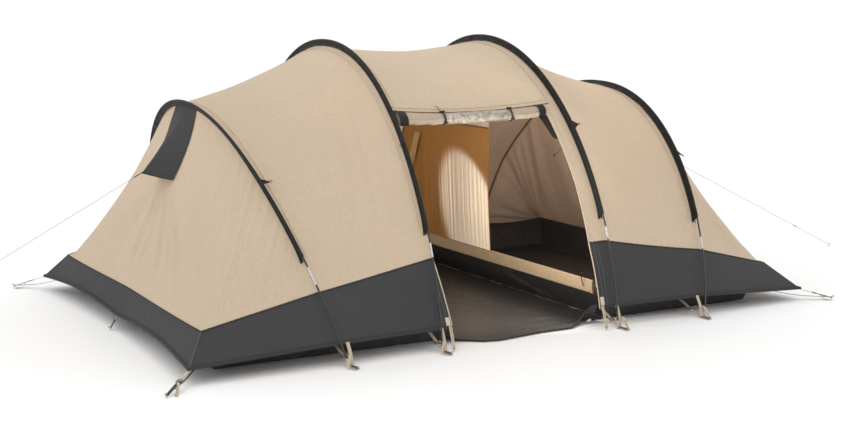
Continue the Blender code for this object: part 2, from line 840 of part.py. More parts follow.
def make_door_rolls():
    left = door_share(SHOULDER_STATION, DOOR_LEFT_X) + 0.01
    right = door_share(SHOULDER_STATION, DOOR_RIGHT_X) - 0.01
    shares = (left,) + ROLL_SHARES[1:-1] + (right,)
    cloth = [roll_ring(u, high, ROLL_HALF_DEPTH) for u, high in zip(shares, ROLL_HALF_HEIGHT)]
    tube("door_roll", cloth, sand_cloth())
    window = shares[2:-2]
    high = ROLL_HALF_HEIGHT[2] + GAP
    deep = ROLL_HALF_DEPTH + GAP
    outer = [roll_ring(u, high + FILM, deep + FILM) for u in window]
    inner = [roll_ring(u, high, deep) for u in window]
    tube("window_roll", outer, clear_film(), inner)
    for name, edge in (("roll_toggle_left", shares[1]), ("roll_toggle_right", shares[-2])):
        rim, down, out = lintel_point(edge)
        drop = flat_radius(ROLL_HALF_HEIGHT[1]) + SEAT
        centre = rim + down * drop + out * (flat_radius(ROLL_HALF_DEPTH) + 0.006 + 2 * SEAT)
        ring = [centre + down * a + vec(b, 0, 0) for a, b in
                ((-0.015, -0.006), (0.015, -0.006), (0.015, 0.006), (-0.015, 0.006))]
        rings = [[p - out * 0.006 for p in ring], [p + out * 0.006 for p in ring]]
        tube(name, rings, sleeve_cloth())


# Webbing and pegs
def ribbon(name, path, side, look):
    rings = []
    for n, p in enumerate(path):
        before = path[max(n - 1, 0)]
        after = path[min(n + 1, len(path) - 1)]
        along = unit(after - before)
        up = unit(np.cross(along, side))
        half = side * WEBBING_WIDTH / 2
        lift = up * WEBBING / 2
        rings.append([p - half - lift, p + half - lift, p + half + lift, p - half + lift])
    return tube(name, rings, look)


def peg(name, foot, outwards):
    """A wire hook, from ground level up."""
    bend = PEG_HEIGHT - 0.006
    path = [foot, foot + vec(0, 0, bend), foot + vec(0, 0, PEG_HEIGHT) + outwards * 0.008,
            foot + vec(0, 0, bend) + outwards * 0.016]
    return wire(name, path, PEG_RADIUS, webbing_material())


def wire(name, path, radius, look):
    rings = []
    first = unit(path[1] - path[0])
    side = unit(np.cross(first, vec(0.31, 0.95, 0.07)))
    for n, p in enumerate(path):
        before = path[max(n - 1, 0)]
        after = path[min(n + 1, len(path) - 1)]
        along = unit(after - before)
        if n == 0:
            along = first
        side = unit(side - along * (side @ along))
        up = np.cross(along, side)
        rings.append([p + radius * (math.cos(a) * side + math.sin(a) * up)
                      for a in np.linspace(0, 2 * math.pi, 6, endpoint=False)])
    return tube(name, rings, look)


def rim_outer(x, z):
    """How far out the groundsheets' rims stand at a height z."""
    if x < CABIN_FLOOR_X[0]:
        return FLOOR_HALF_WIDTH + RIM_SPREAD * z / RIM_HEIGHT
    return FLOOR_HALF_WIDTH + (CABIN_RIM_HALF_WIDTH - FLOOR_HALF_WIDTH) * z / CABIN_RIM_HEIGHT


def make_foot_strap(k, back):
    """Webbing from the hem and from the groundsheet to the peg beside a pole's foot."""
    way = 1 if back else -1
    name = "foot_strap_%d_%s" % (k + 1, "back" if back else "front")
    aside = TIP_RADIUS + WEBBING_WIDTH / 2 + 0.0008
    last = len(ARCH_X) - 1
    x = ARCH_X[k] - aside if k == last else ARCH_X[k] + aside
    ground = 0.006
    start_height = 0.10
    foot_y = ARCH_HALF_WIDTH[k]
    side = vec(1, 0, 0)
    start = vec(x, way * (rim_outer(x, start_height) + 0.0009), start_height)
    middle = vec(x, way * (foot_y - 0.01), ground)
    end = vec(x, way * (foot_y + PEG_REACH), ground)
    long_strap = ribbon(name, [start, middle, end], side, webbing_material())
    bay = min(k, last - 1)
    hem_share = (x - ARCH_X[bay]) / (ARCH_X[bay + 1] - ARCH_X[bay])
    hem, out = bay_point(bay, hem_share, LAST_STATION if back else 0)
    hem = hem - out * CLOTH / 2
    hem[0] = x
    top = hem - vec(0, 0, 0.004)
    join = vec(x, way * foot_y, ground)
    short_strap = ribbon(name + "_hem", [top, join], side, webbing_material())
    add_union(long_strap, short_strap)
    hook = peg(name + "_peg", end - vec(0, way * 0.010, ground), vec(0, way, 0))
    add_union(long_strap, hook)


def make_anchor(name, start, peg_foot, side):
    """One strap from the hem to its peg."""
    way = unit(peg_foot - vec(start[0], start[1], 0))
    end = peg_foot + vec(0, 0, 0.006)
    strap = ribbon(name, [start, end - way * 0.03, end], side, webbing_material())
    hook = peg(name + "_peg", peg_foot - way * 0.010, way)
    add_union(strap, hook)


def make_anchors():
    for k in range(4):
        make_foot_strap(k, False)
        make_foot_strap(k, True)
    for end, end_name in ((0, "left"), (1, "right")):
        k = end_arch(end)
        for back in (False, True):
            i = BACK_SHOULDER_STATION if back else SHOULDER_STATION
            way = 1 if back else -1
            corner = end_outline(end, STATIONS[k][i])
            peg_foot = vec(CORNER_PEG_X[end], way * CORNER_PEG_Y[end], 0)
            pull = unit(peg_foot - corner)
            side = unit(np.cross(pull, vec(0, 0, 1)))
            name = "corner_strap_%s_%s" % (end_name, "back" if back else "front")
            make_anchor(name, corner + pull * SEAT, peg_foot, side)
        out = -1 if end == 0 else 1
        hem = end_outline(end, math.pi / 2) - vec(out * CLOTH / 2, 0, 0.0022)
        make_anchor("end_strap_%s" % end_name, hem, vec(hem[0] + out * 0.06, 0, 0), vec(0, 1, 0))
    for name, edge in (("door_strap_left", DOOR_LEFT_X), ("door_strap_right", DOOR_RIGHT_X)):
        u = door_share(0, edge)
        inset = 0.014 if edge is DOOR_RIGHT_X else -0.014
        hem, out = bay_point(1, u + inset, 0)
        hem = hem - out * CLOTH / 2 - vec(0, 0, SEAT)
        peg_foot = vec(hem[0], hem[1] - 0.06, 0)
        make_anchor(name, hem, peg_foot, vec(1, 0, 0))


# Vent hoods and their guy lines
def end_line(end, t):
    """Points up an end's cloth, on the line that runs to angle t of its arch."""
    k = end_arch(end)
    foot = end_outline(end, t)
    top, top_out = fly_edge(k, t)
    rise = (END_MUDWALL_HEIGHT - foot[2]) / (top[2] - foot[2])
    share = (t - STATIONS[k][SHOULDER_STATION]) / (math.pi - 2 * STATIONS[k][SHOULDER_STATION])
    seam_out = unit(mix(corner_out(end, share), top_out, rise))
    points, _ = hanging_ray(mix(foot, top, rise), seam_out, top, top_out)
    return np.array(points)


def end_surface(end, y, z):
    """The outer face of an end's cloth at a height, near the middle of the tent."""
    shoulder = STATIONS[end_arch(end)][SHOULDER_STATION]
    best_miss = None
    best_x = 0.0
    for t in np.linspace(shoulder, math.pi - shoulder, 121):
        line = end_line(end, t)
        miss = abs(np.interp(z, line[:, 2], line[:, 1]) - y)
        if best_miss is None or miss < best_miss:
            best_miss = miss
            best_x = np.interp(z, line[:, 2], line[:, 0])
    return vec(best_x, y, z)


def make_hood(end, name):
    """A hood of cloth over a vent, pulled out to a point by its guy line."""
    k = end_arch(end)
    crown = fly_edge(k, math.pi / 2)[0]
    way = -1 if end == 0 else 1
    fall = unit(vec(END_X[end] - crown[0], 0, END_HEM_HEIGHT[end] - crown[2]))
    normal = unit(vec(-fall[2] * way, 0, fall[0] * way))
    grid = []
    outward = []
    for a in np.linspace(-1, 1, 9):
        column = []
        outs = []
        for b in np.linspace(0, 1, 5):
            half = mix(HOOD_TOP_HALF_WIDTH, HOOD_FOOT_HALF_WIDTH, b) + HOOD_BOW * math.sin(math.pi * b)
            y = a * half
            top_height = fly_edge(k, math.pi / 2 + 0.75 * y / ARCH_HALF_WIDTH[k])[0][2] - 0.025
            foot_height = mix(HOOD_TIP_HEIGHT, HOOD_FOOT_HEIGHT, abs(a))
            z = mix(top_height, foot_height, b)
            base = end_surface(end, y, z)
            stand = HOOD_CLOTH + SEAT + 0.004 * b
            reach = HOOD_REACH * b ** 1.15 * (1 - abs(a)) ** 0.9
            column.append(base + normal * stand + vec(way, 0, 0) * reach)
            outs.append(normal)
        grid.append(column)
        outward.append(outs)
    cloth_shell(name, np.array(grid), np.array(outward), mudwall_cloth(), thickness=HOOD_CLOTH)
    tip = grid[4][4]
    return tip


def make_guy_line(end, tip, name):
    way = -1 if end == 0 else 1
    foot = vec(way * (GUY_PEG_X - 0.016 - PEG_RADIUS), 0, 0)
    aim = foot + vec(0, 0, 0.020)
    pull = unit(aim - tip)
    line = wire(name, [tip + pull * SEAT, aim], GUY_RADIUS, webbing_material())
    hook = peg(name + "_peg", foot, vec(way, 0, 0))
    add_union(line, hook)


def clear_scene():
    for old in list(bpy.data.objects):
        bpy.data.objects.remove(old, do_unlink=True)


def main():
    clear_scene()
    for k in range(4):
        make_pole(k)
        make_sleeve(k)
    make_bay(0, "fly_left_bay")
    make_bay(1, "fly_middle_bay")
    make_bay(2, "fly_right_bay")
    make_end(0, "fly_left_end")
    make_end(1, "fly_right_end")
    make_mudwalls()
    make_groundsheet()
    make_cabin_tray()
    make_cabin_canopy()
    make_cabin_end()
    make_cabin_front()
    make_threshold()
    make_door_rolls()
    make_anchors()
    for end, side in ((0, "left"), (1, "right")):
        tip = make_hood(end, "vent_hood_" + side)
        make_guy_line(end, tip, "guy_line_" + side)


main()
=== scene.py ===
import math

import bpy
import numpy as np
from mathutils import Matrix, Quaternion, Vector


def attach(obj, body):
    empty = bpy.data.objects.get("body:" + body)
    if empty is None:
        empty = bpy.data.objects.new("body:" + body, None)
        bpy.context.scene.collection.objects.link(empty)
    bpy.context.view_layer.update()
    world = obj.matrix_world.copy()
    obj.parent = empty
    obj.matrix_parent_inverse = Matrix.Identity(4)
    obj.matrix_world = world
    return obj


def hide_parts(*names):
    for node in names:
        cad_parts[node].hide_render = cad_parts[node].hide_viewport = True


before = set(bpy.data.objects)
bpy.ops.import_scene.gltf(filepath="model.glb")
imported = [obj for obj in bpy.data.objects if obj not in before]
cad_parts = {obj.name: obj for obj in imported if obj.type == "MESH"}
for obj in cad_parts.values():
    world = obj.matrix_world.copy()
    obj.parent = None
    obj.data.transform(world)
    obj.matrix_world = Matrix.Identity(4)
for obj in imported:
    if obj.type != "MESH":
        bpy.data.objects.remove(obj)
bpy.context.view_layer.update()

# The part's own sizes, in metres, repeated from its source
ARCH_X = (-1.415, -0.720, 0.682, 1.430)
ARCH_HALF_WIDTH = (1.840, 1.800, 1.790, 1.800)
ARCH_HEIGHT = (1.600, 2.000, 2.000, 1.600)
ARCH_LEAN = (-0.265, 0.000, -0.030, 0.175)
ARCH_SHOULDER = (1.380, 1.200, 1.045, 1.350)
ARCH_FLANK = (0.965, 0.930, 0.985, 0.920)
HEM_HEIGHT = (0.150, 0.150, 0.150, 0.150)
MUDWALL_HEIGHT = (0.480, 0.620, 0.620, 0.480)
SLEEVE_END_HEIGHT = (0.690, 0.800, 0.800, 0.690)
SHOULDER_HEIGHT = (1.245, 1.570, 1.570, 1.245)
FERRULE_LOW = (0.520, 0.624, 0.626, 0.476)
FERRULE_HIGH = (0.627, 0.715, 0.713, 0.556)
END_X = (-2.457, 2.440)
END_HALF_WIDTH = (1.763, 1.670)
END_HEM_HEIGHT = (0.097, 0.080)
END_MUDWALL_HEIGHT = 0.300
END_TUCK = ((0.010, 0.045), (0.080, 0.060))
END_SCALLOP = 0.035
END_BOW = 0.080
END_SAG = (0.030, 0.032)
CABIN_SAG = 0.060
CLOTH = 0.005
POLE_RADIUS = 0.00635
FERRULE_RADIUS = 0.0072
TIP_RADIUS = 0.0075
TIP_LENGTH = 0.060
SLEEVE_BASE = 0.0403
BAY_SAG = (0.038, 0.062, 0.050)
DOOR_HEIGHTS = (0.14, 0.60, 1.00, 1.57)
DOOR_LEFT_X = (-0.612, -0.698, -0.705, -0.680)
DOOR_RIGHT_X = (0.565, 0.531, 0.531, 0.512)
ROLL_SHARES = (0.00, 0.30, 0.315, 0.50, 0.685, 0.70, 1.00)
ROLL_HALF_HEIGHT = (0.064, 0.050, 0.044, 0.044, 0.044, 0.050, 0.053)
ROLL_HALF_DEPTH = 0.038
FILM = 0.005
FLOOR_HALF_WIDTH = 1.460
FLOOR_LEFT_X = -2.180
CABIN_FLOOR_X = (0.790, 2.060)
CABIN_RIM_X = (0.672, 2.120)
CABIN_RIM_HALF_WIDTH = 1.550
CABIN_RIM_HEIGHT = 0.240
CABIN_INSET = 0.085
CABIN_SETBACK = 0.0125
THRESHOLD_HEIGHTS = (0.200, 0.300)
RIM_HEIGHT = 0.140
RIM_SPREAD = 0.140
CABIN_HEADER_HEIGHT = 1.620
PANEL_EDGE = -0.094
PANEL_HEM_REACH = 0.400
ZIP_HEIGHT = 1.280
STRIP_HEIGHTS = (1.155, 0.520)
STRIP_Y = (1.080, 1.430)
STRIP_WIDTH = 0.100
WEBBING_WIDTH = 0.025
PEG_RADIUS = 0.003
PEG_REACH = 0.090
CORNER_PEG_X = (-2.665, 2.665)
CORNER_PEG_Y = (1.950, 1.780)
GUY_PEG_X = 4.250
HOOD_TOP_HALF_WIDTH = 0.215
HOOD_FOOT_HALF_WIDTH = 0.165
HOOD_BOW = 0.052
HOOD_FOOT_HEIGHT = 1.060
HOOD_TIP_HEIGHT = 1.105
HOOD_REACH = 0.185

# Stations round an arch, counted as the part counts them
MUD_STATION = 2
SLEEVE_STATION = 3
SHOULDER_STATION = 7
BACK_SHOULDER_STATION = 15
BACK_SLEEVE_STATION = 19
BACK_MUD_STATION = 20
LAST_STATION = 22

# Camera, solved from the arches and pegs in the photograph
CAMERA_PLACE = (-5.428, -10.585, 2.438)
CAMERA_YAW = math.radians(27.670)
CAMERA_PITCH = math.radians(-8.642)
CAMERA_ROLL = math.radians(-0.647)
CAMERA_LENS = 66.36
CAMERA_SHIFT = (-0.0081, -0.0018)


def make_camera():
    camera = bpy.data.cameras.new("camera")
    camera.lens = CAMERA_LENS
    camera.sensor_width = 36.0
    camera.shift_x, camera.shift_y = CAMERA_SHIFT
    camera.clip_end = 200.0
    holder = bpy.data.objects.new("camera", camera)
    holder.location = CAMERA_PLACE
    turn = (Matrix.Rotation(-CAMERA_YAW, 3, "Z") @ Matrix.Rotation(math.pi / 2 + CAMERA_PITCH, 3, "X")
            @ Matrix.Rotation(CAMERA_ROLL, 3, "Z"))
    holder.rotation_mode = "QUATERNION"
    holder.rotation_quaternion = turn.to_quaternion()
    bpy.context.scene.collection.objects.link(holder)
    bpy.context.scene.camera = holder


# Small vector helpers
def unit(v):
    return v / np.maximum(np.linalg.norm(v, axis=-1, keepdims=True), 1e-12)


def mix(a, b, k):
    return a + (b - a) * k


def vec(x, y, z):
    return np.array([x, y, z], dtype=float)


def lengths_along(path):
    """How far along a path each of its points is."""
    return np.concatenate([[0], np.cumsum(np.linalg.norm(np.diff(path, axis=0), axis=1))])


def waves(x, y, seed, count=6):
    """Smooth noise from a few sines, about -1 to 1, with a wavelength near 1."""
    rng = np.random.default_rng(seed)
    total = 0.0
    for _ in range(count):
        turn = rng.uniform(0, 2 * math.pi)
        speed = 2 * math.pi * rng.uniform(0.55, 1.5)
        phase = rng.uniform(0, 2 * math.pi)
        total = total + np.sin(speed * (x * math.cos(turn) + y * math.sin(turn)) + phase)
    return total / math.sqrt(count) / 1.3


def ripples(x, seed, count=6):
    """Smooth noise along one line, about -1 to 1, with a wavelength near 1."""
    rng = np.random.default_rng(seed)
    total = 0.0
    for _ in range(count):
        speed = 2 * math.pi * rng.uniform(0.6, 1.7)
        total = total + np.sin(speed * x + rng.uniform(0, 2 * math.pi))
    return total / math.sqrt(count) / 1.2


def fold(x, y, start, end, width, depth):
    """A long soft crease between two points of a sheet, with a low rise beside it."""
    start = np.array(start, float)
    end = np.array(end, float)
    length = np.linalg.norm(end - start)
    way = (end - start) / length
    along = ((x - start[0]) * way[0] + (y - start[1]) * way[1]) / length
    aside = (x - start[0]) * -way[1] + (y - start[1]) * way[0]
    reach = np.clip(along, 0, 1)
    taper = np.sin(np.pi * np.clip(reach, 0.02, 0.98)) ** 0.6
    taper = np.where((along < -0.02) | (along > 1.02), 0.0, taper)
    spread = width * (0.6 + 0.8 * reach)
    valley = np.exp(-(aside / spread) ** 2)
    rise = np.exp(-((aside - 1.7 * spread) / (1.2 * spread)) ** 2)
    return taper * depth * (0.7 * rise - valley)


# The arches
def arch_point(k, t):
    t = np.asarray(t, float)
    c = np.cos(t)
    z = ARCH_HEIGHT[k] * np.abs(np.sin(t)) ** ARCH_SHOULDER[k]
    y = -np.sign(c) * np.abs(c) ** ARCH_FLANK[k] * ARCH_HALF_WIDTH[k]
    return np.stack([ARCH_X[k] + ARCH_LEAN[k] * z, y, z], axis=-1)


def arch_angle(k, height):
    return math.asin((height / ARCH_HEIGHT[k]) ** (1 / ARCH_SHOULDER[k]))


def arch_tangent(k, t):
    step = 0.004
    low = np.maximum(np.asarray(t, float) - step, 0.0)
    high = np.minimum(np.asarray(t, float) + step, math.pi)
    return unit(arch_point(k, high) - arch_point(k, low))


def end_arch(end):
    return 0 if end == 0 else 3


def end_outline(end, t):
    k = end_arch(end)
    shoulder = arch_angle(k, SHOULDER_HEIGHT[k])
    share = np.clip((np.asarray(t, float) - shoulder) / (math.pi - 2 * shoulder), 0.0, 1.0)
    lift = END_SCALLOP * np.abs(np.sin(2 * math.pi * share))
    bow = END_BOW * 4 * share * (1 - share)
    y = mix(-END_HALF_WIDTH[end], END_HALF_WIDTH[end], share)
    return np.stack([END_X[end] - math.copysign(1, END_X[end]) * bow, y, END_HEM_HEIGHT[end] + lift], axis=-1)


def dot(a, b):
    return np.sum(a * b, axis=-1, keepdims=True)


def ridge_frame(k, t):
    here = arch_point(k, t)
    along = arch_tangent(k, t)
    left = end_outline(0, t) if k == 0 else arch_point(k - 1, t)
    right = end_outline(1, t) if k == 3 else arch_point(k + 1, t)
    to_left = left - here
    to_right = right - here
    to_left = unit(to_left - along * dot(to_left, along))
    to_right = unit(to_right - along * dot(to_right, along))
    across = unit(to_right - to_left)
    return here, along, across, np.cross(across, along)


def fly_edge(k, t):
    here, _, _, out = ridge_frame(k, t)
    return here - out * SLEEVE_BASE, out


def station_angles(k):
    low = np.linspace(arch_angle(k, HEM_HEIGHT[k]), arch_angle(k, MUDWALL_HEIGHT[k]), 3)
    front = np.linspace(arch_angle(k, SLEEVE_END_HEIGHT[k]), arch_angle(k, SHOULDER_HEIGHT[k]), 5)
    crown = np.linspace(front[-1], math.pi - front[-1], 9)
    half = list(low) + list(front)
    return half[:-1] + list(crown) + [math.pi - t for t in reversed(half[:-1])]


STATIONS = [station_angles(k) for k in range(4)]


def angle_at(k, v):
    return np.interp(v, range(LAST_STATION + 1), STATIONS[k])


def at_station(k, v):
    return fly_edge(k, angle_at(k, v))


def bay_point(bay, u, v):
    """The fly between two arches: u runs from the left arch to the right, v round them."""
    left, left_out = at_station(bay, v)
    right, right_out = at_station(bay + 1, v)
    u = np.asarray(u, float)[..., None]
    out = unit(mix(left_out, right_out, u))
    sag = BAY_SAG[bay] * (0.30 + 0.70 * np.sin(math.pi * np.asarray(v, float) / LAST_STATION))
    return mix(left, right, u) - out * sag[..., None] * 4 * u * (1 - u), out


def door_share(v, edge_x):
    left, _ = at_station(1, v)
    right, _ = at_station(2, v)
    x = np.interp(left[..., 2], DOOR_HEIGHTS, edge_x)
    return (x - left[..., 0]) / (right[..., 0] - left[..., 0])


# The two sloping ends
def corner_out(end, share):
    side = -1 if end == 0 else 1
    share = np.asarray(share, float)
    return unit(np.stack([np.full_like(share, side), 2 * share - 1, np.full_like(share, 0.45)], axis=-1))


def crown_share(v):
    return np.clip((np.asarray(v, float) - SHOULDER_STATION) / 8, 0.0, 1.0)


def corner_station(back):
    """The station of an end's front or back corner."""
    return float(BACK_SHOULDER_STATION if back else SHOULDER_STATION)


def mud_seam(end, v):
    """The line where an end meets its mudwall, and the way out of the tent there."""
    k = end_arch(end)
    v = np.asarray(v, float)
    share = crown_share(v)
    top, top_out = at_station(k, np.clip(v, SHOULDER_STATION, BACK_SHOULDER_STATION))
    foot = end_outline(end, angle_at(k, v))
    rise = ((END_MUDWALL_HEIGHT - foot[..., 2]) / (top[..., 2] - foot[..., 2]))[..., None]
    tuck = mix(END_TUCK[end][0], END_TUCK[end][1], share) * (2 * share - 1) ** 2
    seam = mix(foot, top, rise) - corner_out(end, share) * tuck[..., None]
    seam_out = unit(mix(corner_out(end, share), top_out, rise))
    front = np.clip((SHOULDER_STATION - v) / (SHOULDER_STATION - MUD_STATION), 0, 1)
    back = np.clip((v - BACK_SHOULDER_STATION) / (BACK_MUD_STATION - BACK_SHOULDER_STATION), 0, 1)
    for flank, station in ((front, MUD_STATION), (back, BACK_MUD_STATION)):
        mud, mud_out = at_station(k, station)
        seam = mix(seam, mud, flank[..., None])
        seam_out = unit(mix(seam_out, mud_out, flank[..., None]))
    return seam, seam_out


# Materials
def new_material(name):
    made = bpy.data.materials.new(name)
    made.use_nodes = True
    tree = made.node_tree
    return made, tree, tree.nodes["Principled BSDF"]


def node(tree, kind, **settings):
    made = tree.nodes.new(kind)
    for key, value in settings.items():
        if key in made.inputs:
            made.inputs[key].default_value = value
        else:
            setattr(made, key, value)
    return made


def ramp(tree, source, stops):
    made = tree.nodes.new("ShaderNodeValToRGB")
    tree.links.new(source, made.inputs["Fac"])
    elements = made.color_ramp.elements
    while len(elements) < len(stops):
        elements.new(0.5)
    for element, (place, colour) in zip(elements, stops):
        element.position = place
        element.color = (*colour, 1.0)
    return made.outputs["Color"]


def noise_on(tree, place, scale, detail=3.0, roughness=0.5):
    made = node(tree, "ShaderNodeTexNoise", Scale=scale, Detail=detail, Roughness=roughness)
    tree.links.new(place, made.inputs["Vector"])
    return made.outputs["Fac"]


def cut_place(tree):
    """Where a point lies on the flat cloth, in metres."""
    return node(tree, "ShaderNodeAttribute", attribute_name="cut").outputs["Vector"]


def position(tree):
    return node(tree, "ShaderNodeNewGeometry").outputs["Position"]


def bump_from(tree, source, shader, strength, distance, under=None):
    """A fine relief on a material, over another one where there is one."""
    made = node(tree, "ShaderNodeBump", Strength=strength, Distance=distance)
    tree.links.new(source, made.inputs["Height"])
    if under is not None:
        tree.links.new(under.outputs["Normal"], made.inputs["Normal"])
    tree.links.new(made.outputs["Normal"], shader.inputs["Normal"])
    return made


def creases(tree, scale, detail, roughness, distortion):
    made = node(tree, "ShaderNodeTexNoise", Scale=scale, Detail=detail, Roughness=roughness, Distortion=distortion)
    tree.links.new(position(tree), made.inputs["Vector"])
    return made.outputs["Fac"]


def set_shader(shader, **values):
    for name, value in values.items():
        shader.inputs[name.replace("_", " ")].default_value = value


def tint(colour, share):
    return tuple(min(c * share, 1.0) for c in colour)


def cloth_material(name, colour, roughness=0.8, sheen=0.25, glow=0.0, thread=0.0016,
                   mottle=0.10, crumple=0.0, crumple_scale=9.0, weave=0.25, specular=0.25):
    """Woven cloth: crossing threads, uneven dye, fine crumples and light that comes through."""
    made, tree, shader = new_material(name)
    place = cut_place(tree)
    body = position(tree)
    broad = noise_on(tree, body, 1.7, 4.0, 0.6)
    slub = noise_on(tree, body, 60.0, 3.0, 0.7)
    base = ramp(tree, broad, ((0.25, tint(colour, 1 - mottle)), (0.75, tint(colour, 1 + mottle))))
    fine = ramp(tree, slub, ((0.30, (0.93, 0.93, 0.93)), (0.70, (1.05, 1.05, 1.05))))
    dyed = node(tree, "ShaderNodeMix", data_type="RGBA", blend_type="MULTIPLY", Factor=1.0)
    tree.links.new(base, dyed.inputs[6])
    tree.links.new(fine, dyed.inputs[7])
    tree.links.new(dyed.outputs[2], shader.inputs["Base Color"])
    warp = node(tree, "ShaderNodeTexWave", bands_direction="X", Scale=math.pi / thread / 10)
    weft = node(tree, "ShaderNodeTexWave", bands_direction="Y", Scale=math.pi / thread / 10)
    threads = node(tree, "ShaderNodeMath", operation="MAXIMUM")
    for number, wave in enumerate((warp, weft)):
        tree.links.new(place, wave.inputs["Vector"])
        tree.links.new(wave.outputs["Fac"], threads.inputs[number])
    soft = None
    if crumple:
        soft = bump_from(tree, creases(tree, crumple_scale, 5.0, 0.55, 0.7), shader, 1.0, crumple)
    bump_from(tree, threads.outputs[0], shader, weave, 0.0004, soft)
    set_shader(shader, Roughness=roughness, Sheen_Weight=sheen, Sheen_Roughness=0.5, Specular_IOR_Level=specular)
    if glow:
        through = node(tree, "ShaderNodeBsdfTranslucent")
        tree.links.new(dyed.outputs[2], through.inputs["Color"])
        both = node(tree, "ShaderNodeMixShader", Fac=glow)
        tree.links.new(shader.outputs["BSDF"], both.inputs[1])
        tree.links.new(through.outputs["BSDF"], both.inputs[2])
        tree.links.new(both.outputs["Shader"], tree.nodes["Material Output"].inputs["Surface"])
    return made


def webbing_material(name, colour):
    """Flat woven tape, ribbed across its length."""
    made, tree, shader = new_material(name)
    body = position(tree)
    tone = noise_on(tree, body, 90.0, 2.0, 0.6)
    base = ramp(tree, tone, ((0.3, tint(colour, 0.86)), (0.7, tint(colour, 1.1))))
    tree.links.new(base, shader.inputs["Base Color"])
    ribs = node(tree, "ShaderNodeTexWave", bands_direction="DIAGONAL", Scale=160.0, Distortion=0.3)
    tree.links.new(body, ribs.inputs["Vector"])
    bump_from(tree, ribs.outputs["Fac"], shader, 0.5, 0.0005)
    set_shader(shader, Roughness=0.85, Sheen_Weight=0.2)
    return made


def hard_material(name, colour, roughness, metallic=0.0, coat=0.0, wear=0.15):
    """Painted or bare metal and plastic, with fine scuffs."""
    made, tree, shader = new_material(name)
    body = position(tree)
    marks = noise_on(tree, body, 140.0, 4.0, 0.6)
    base = ramp(tree, marks, ((0.35, tint(colour, 1 - wear)), (0.65, tint(colour, 1 + wear))))
    tree.links.new(base, shader.inputs["Base Color"])
    rough = ramp(tree, marks, ((0.3, (roughness * 0.8,) * 3), (0.7, (min(roughness * 1.3, 1.0),) * 3)))
    tree.links.new(rough, shader.inputs["Roughness"])
    set_shader(shader, Metallic=metallic, Coat_Weight=coat)
    return made


def film_material():
    """Clear soft window film, rolled up, with sharp glints along its creases. Its dark-to-pale beige colour is
    painted: the roll seen through the film, with painted shade and light on its crinkles.
    """
    made, tree, shader = new_material("window_film_painted_light")
    body = position(tree)
    tone = noise_on(tree, body, 26.0, 4.0, 0.7)
    # Painted see-through colour, with painted shade and light in its dark and pale mottle.
    base = ramp(tree, tone, ((0.32, (0.16, 0.13, 0.095)), (0.50, (0.36, 0.30, 0.22)), (0.72, (0.60, 0.55, 0.46))))
    tree.links.new(base, shader.inputs["Base Color"])
    bump_from(tree, creases(tree, 55.0, 4.0, 0.65, 1.2), shader, 1.0, 0.006)
    set_shader(shader, Roughness=0.12, Specular_IOR_Level=0.8, Coat_Weight=0.6, Coat_Roughness=0.08)
    return made


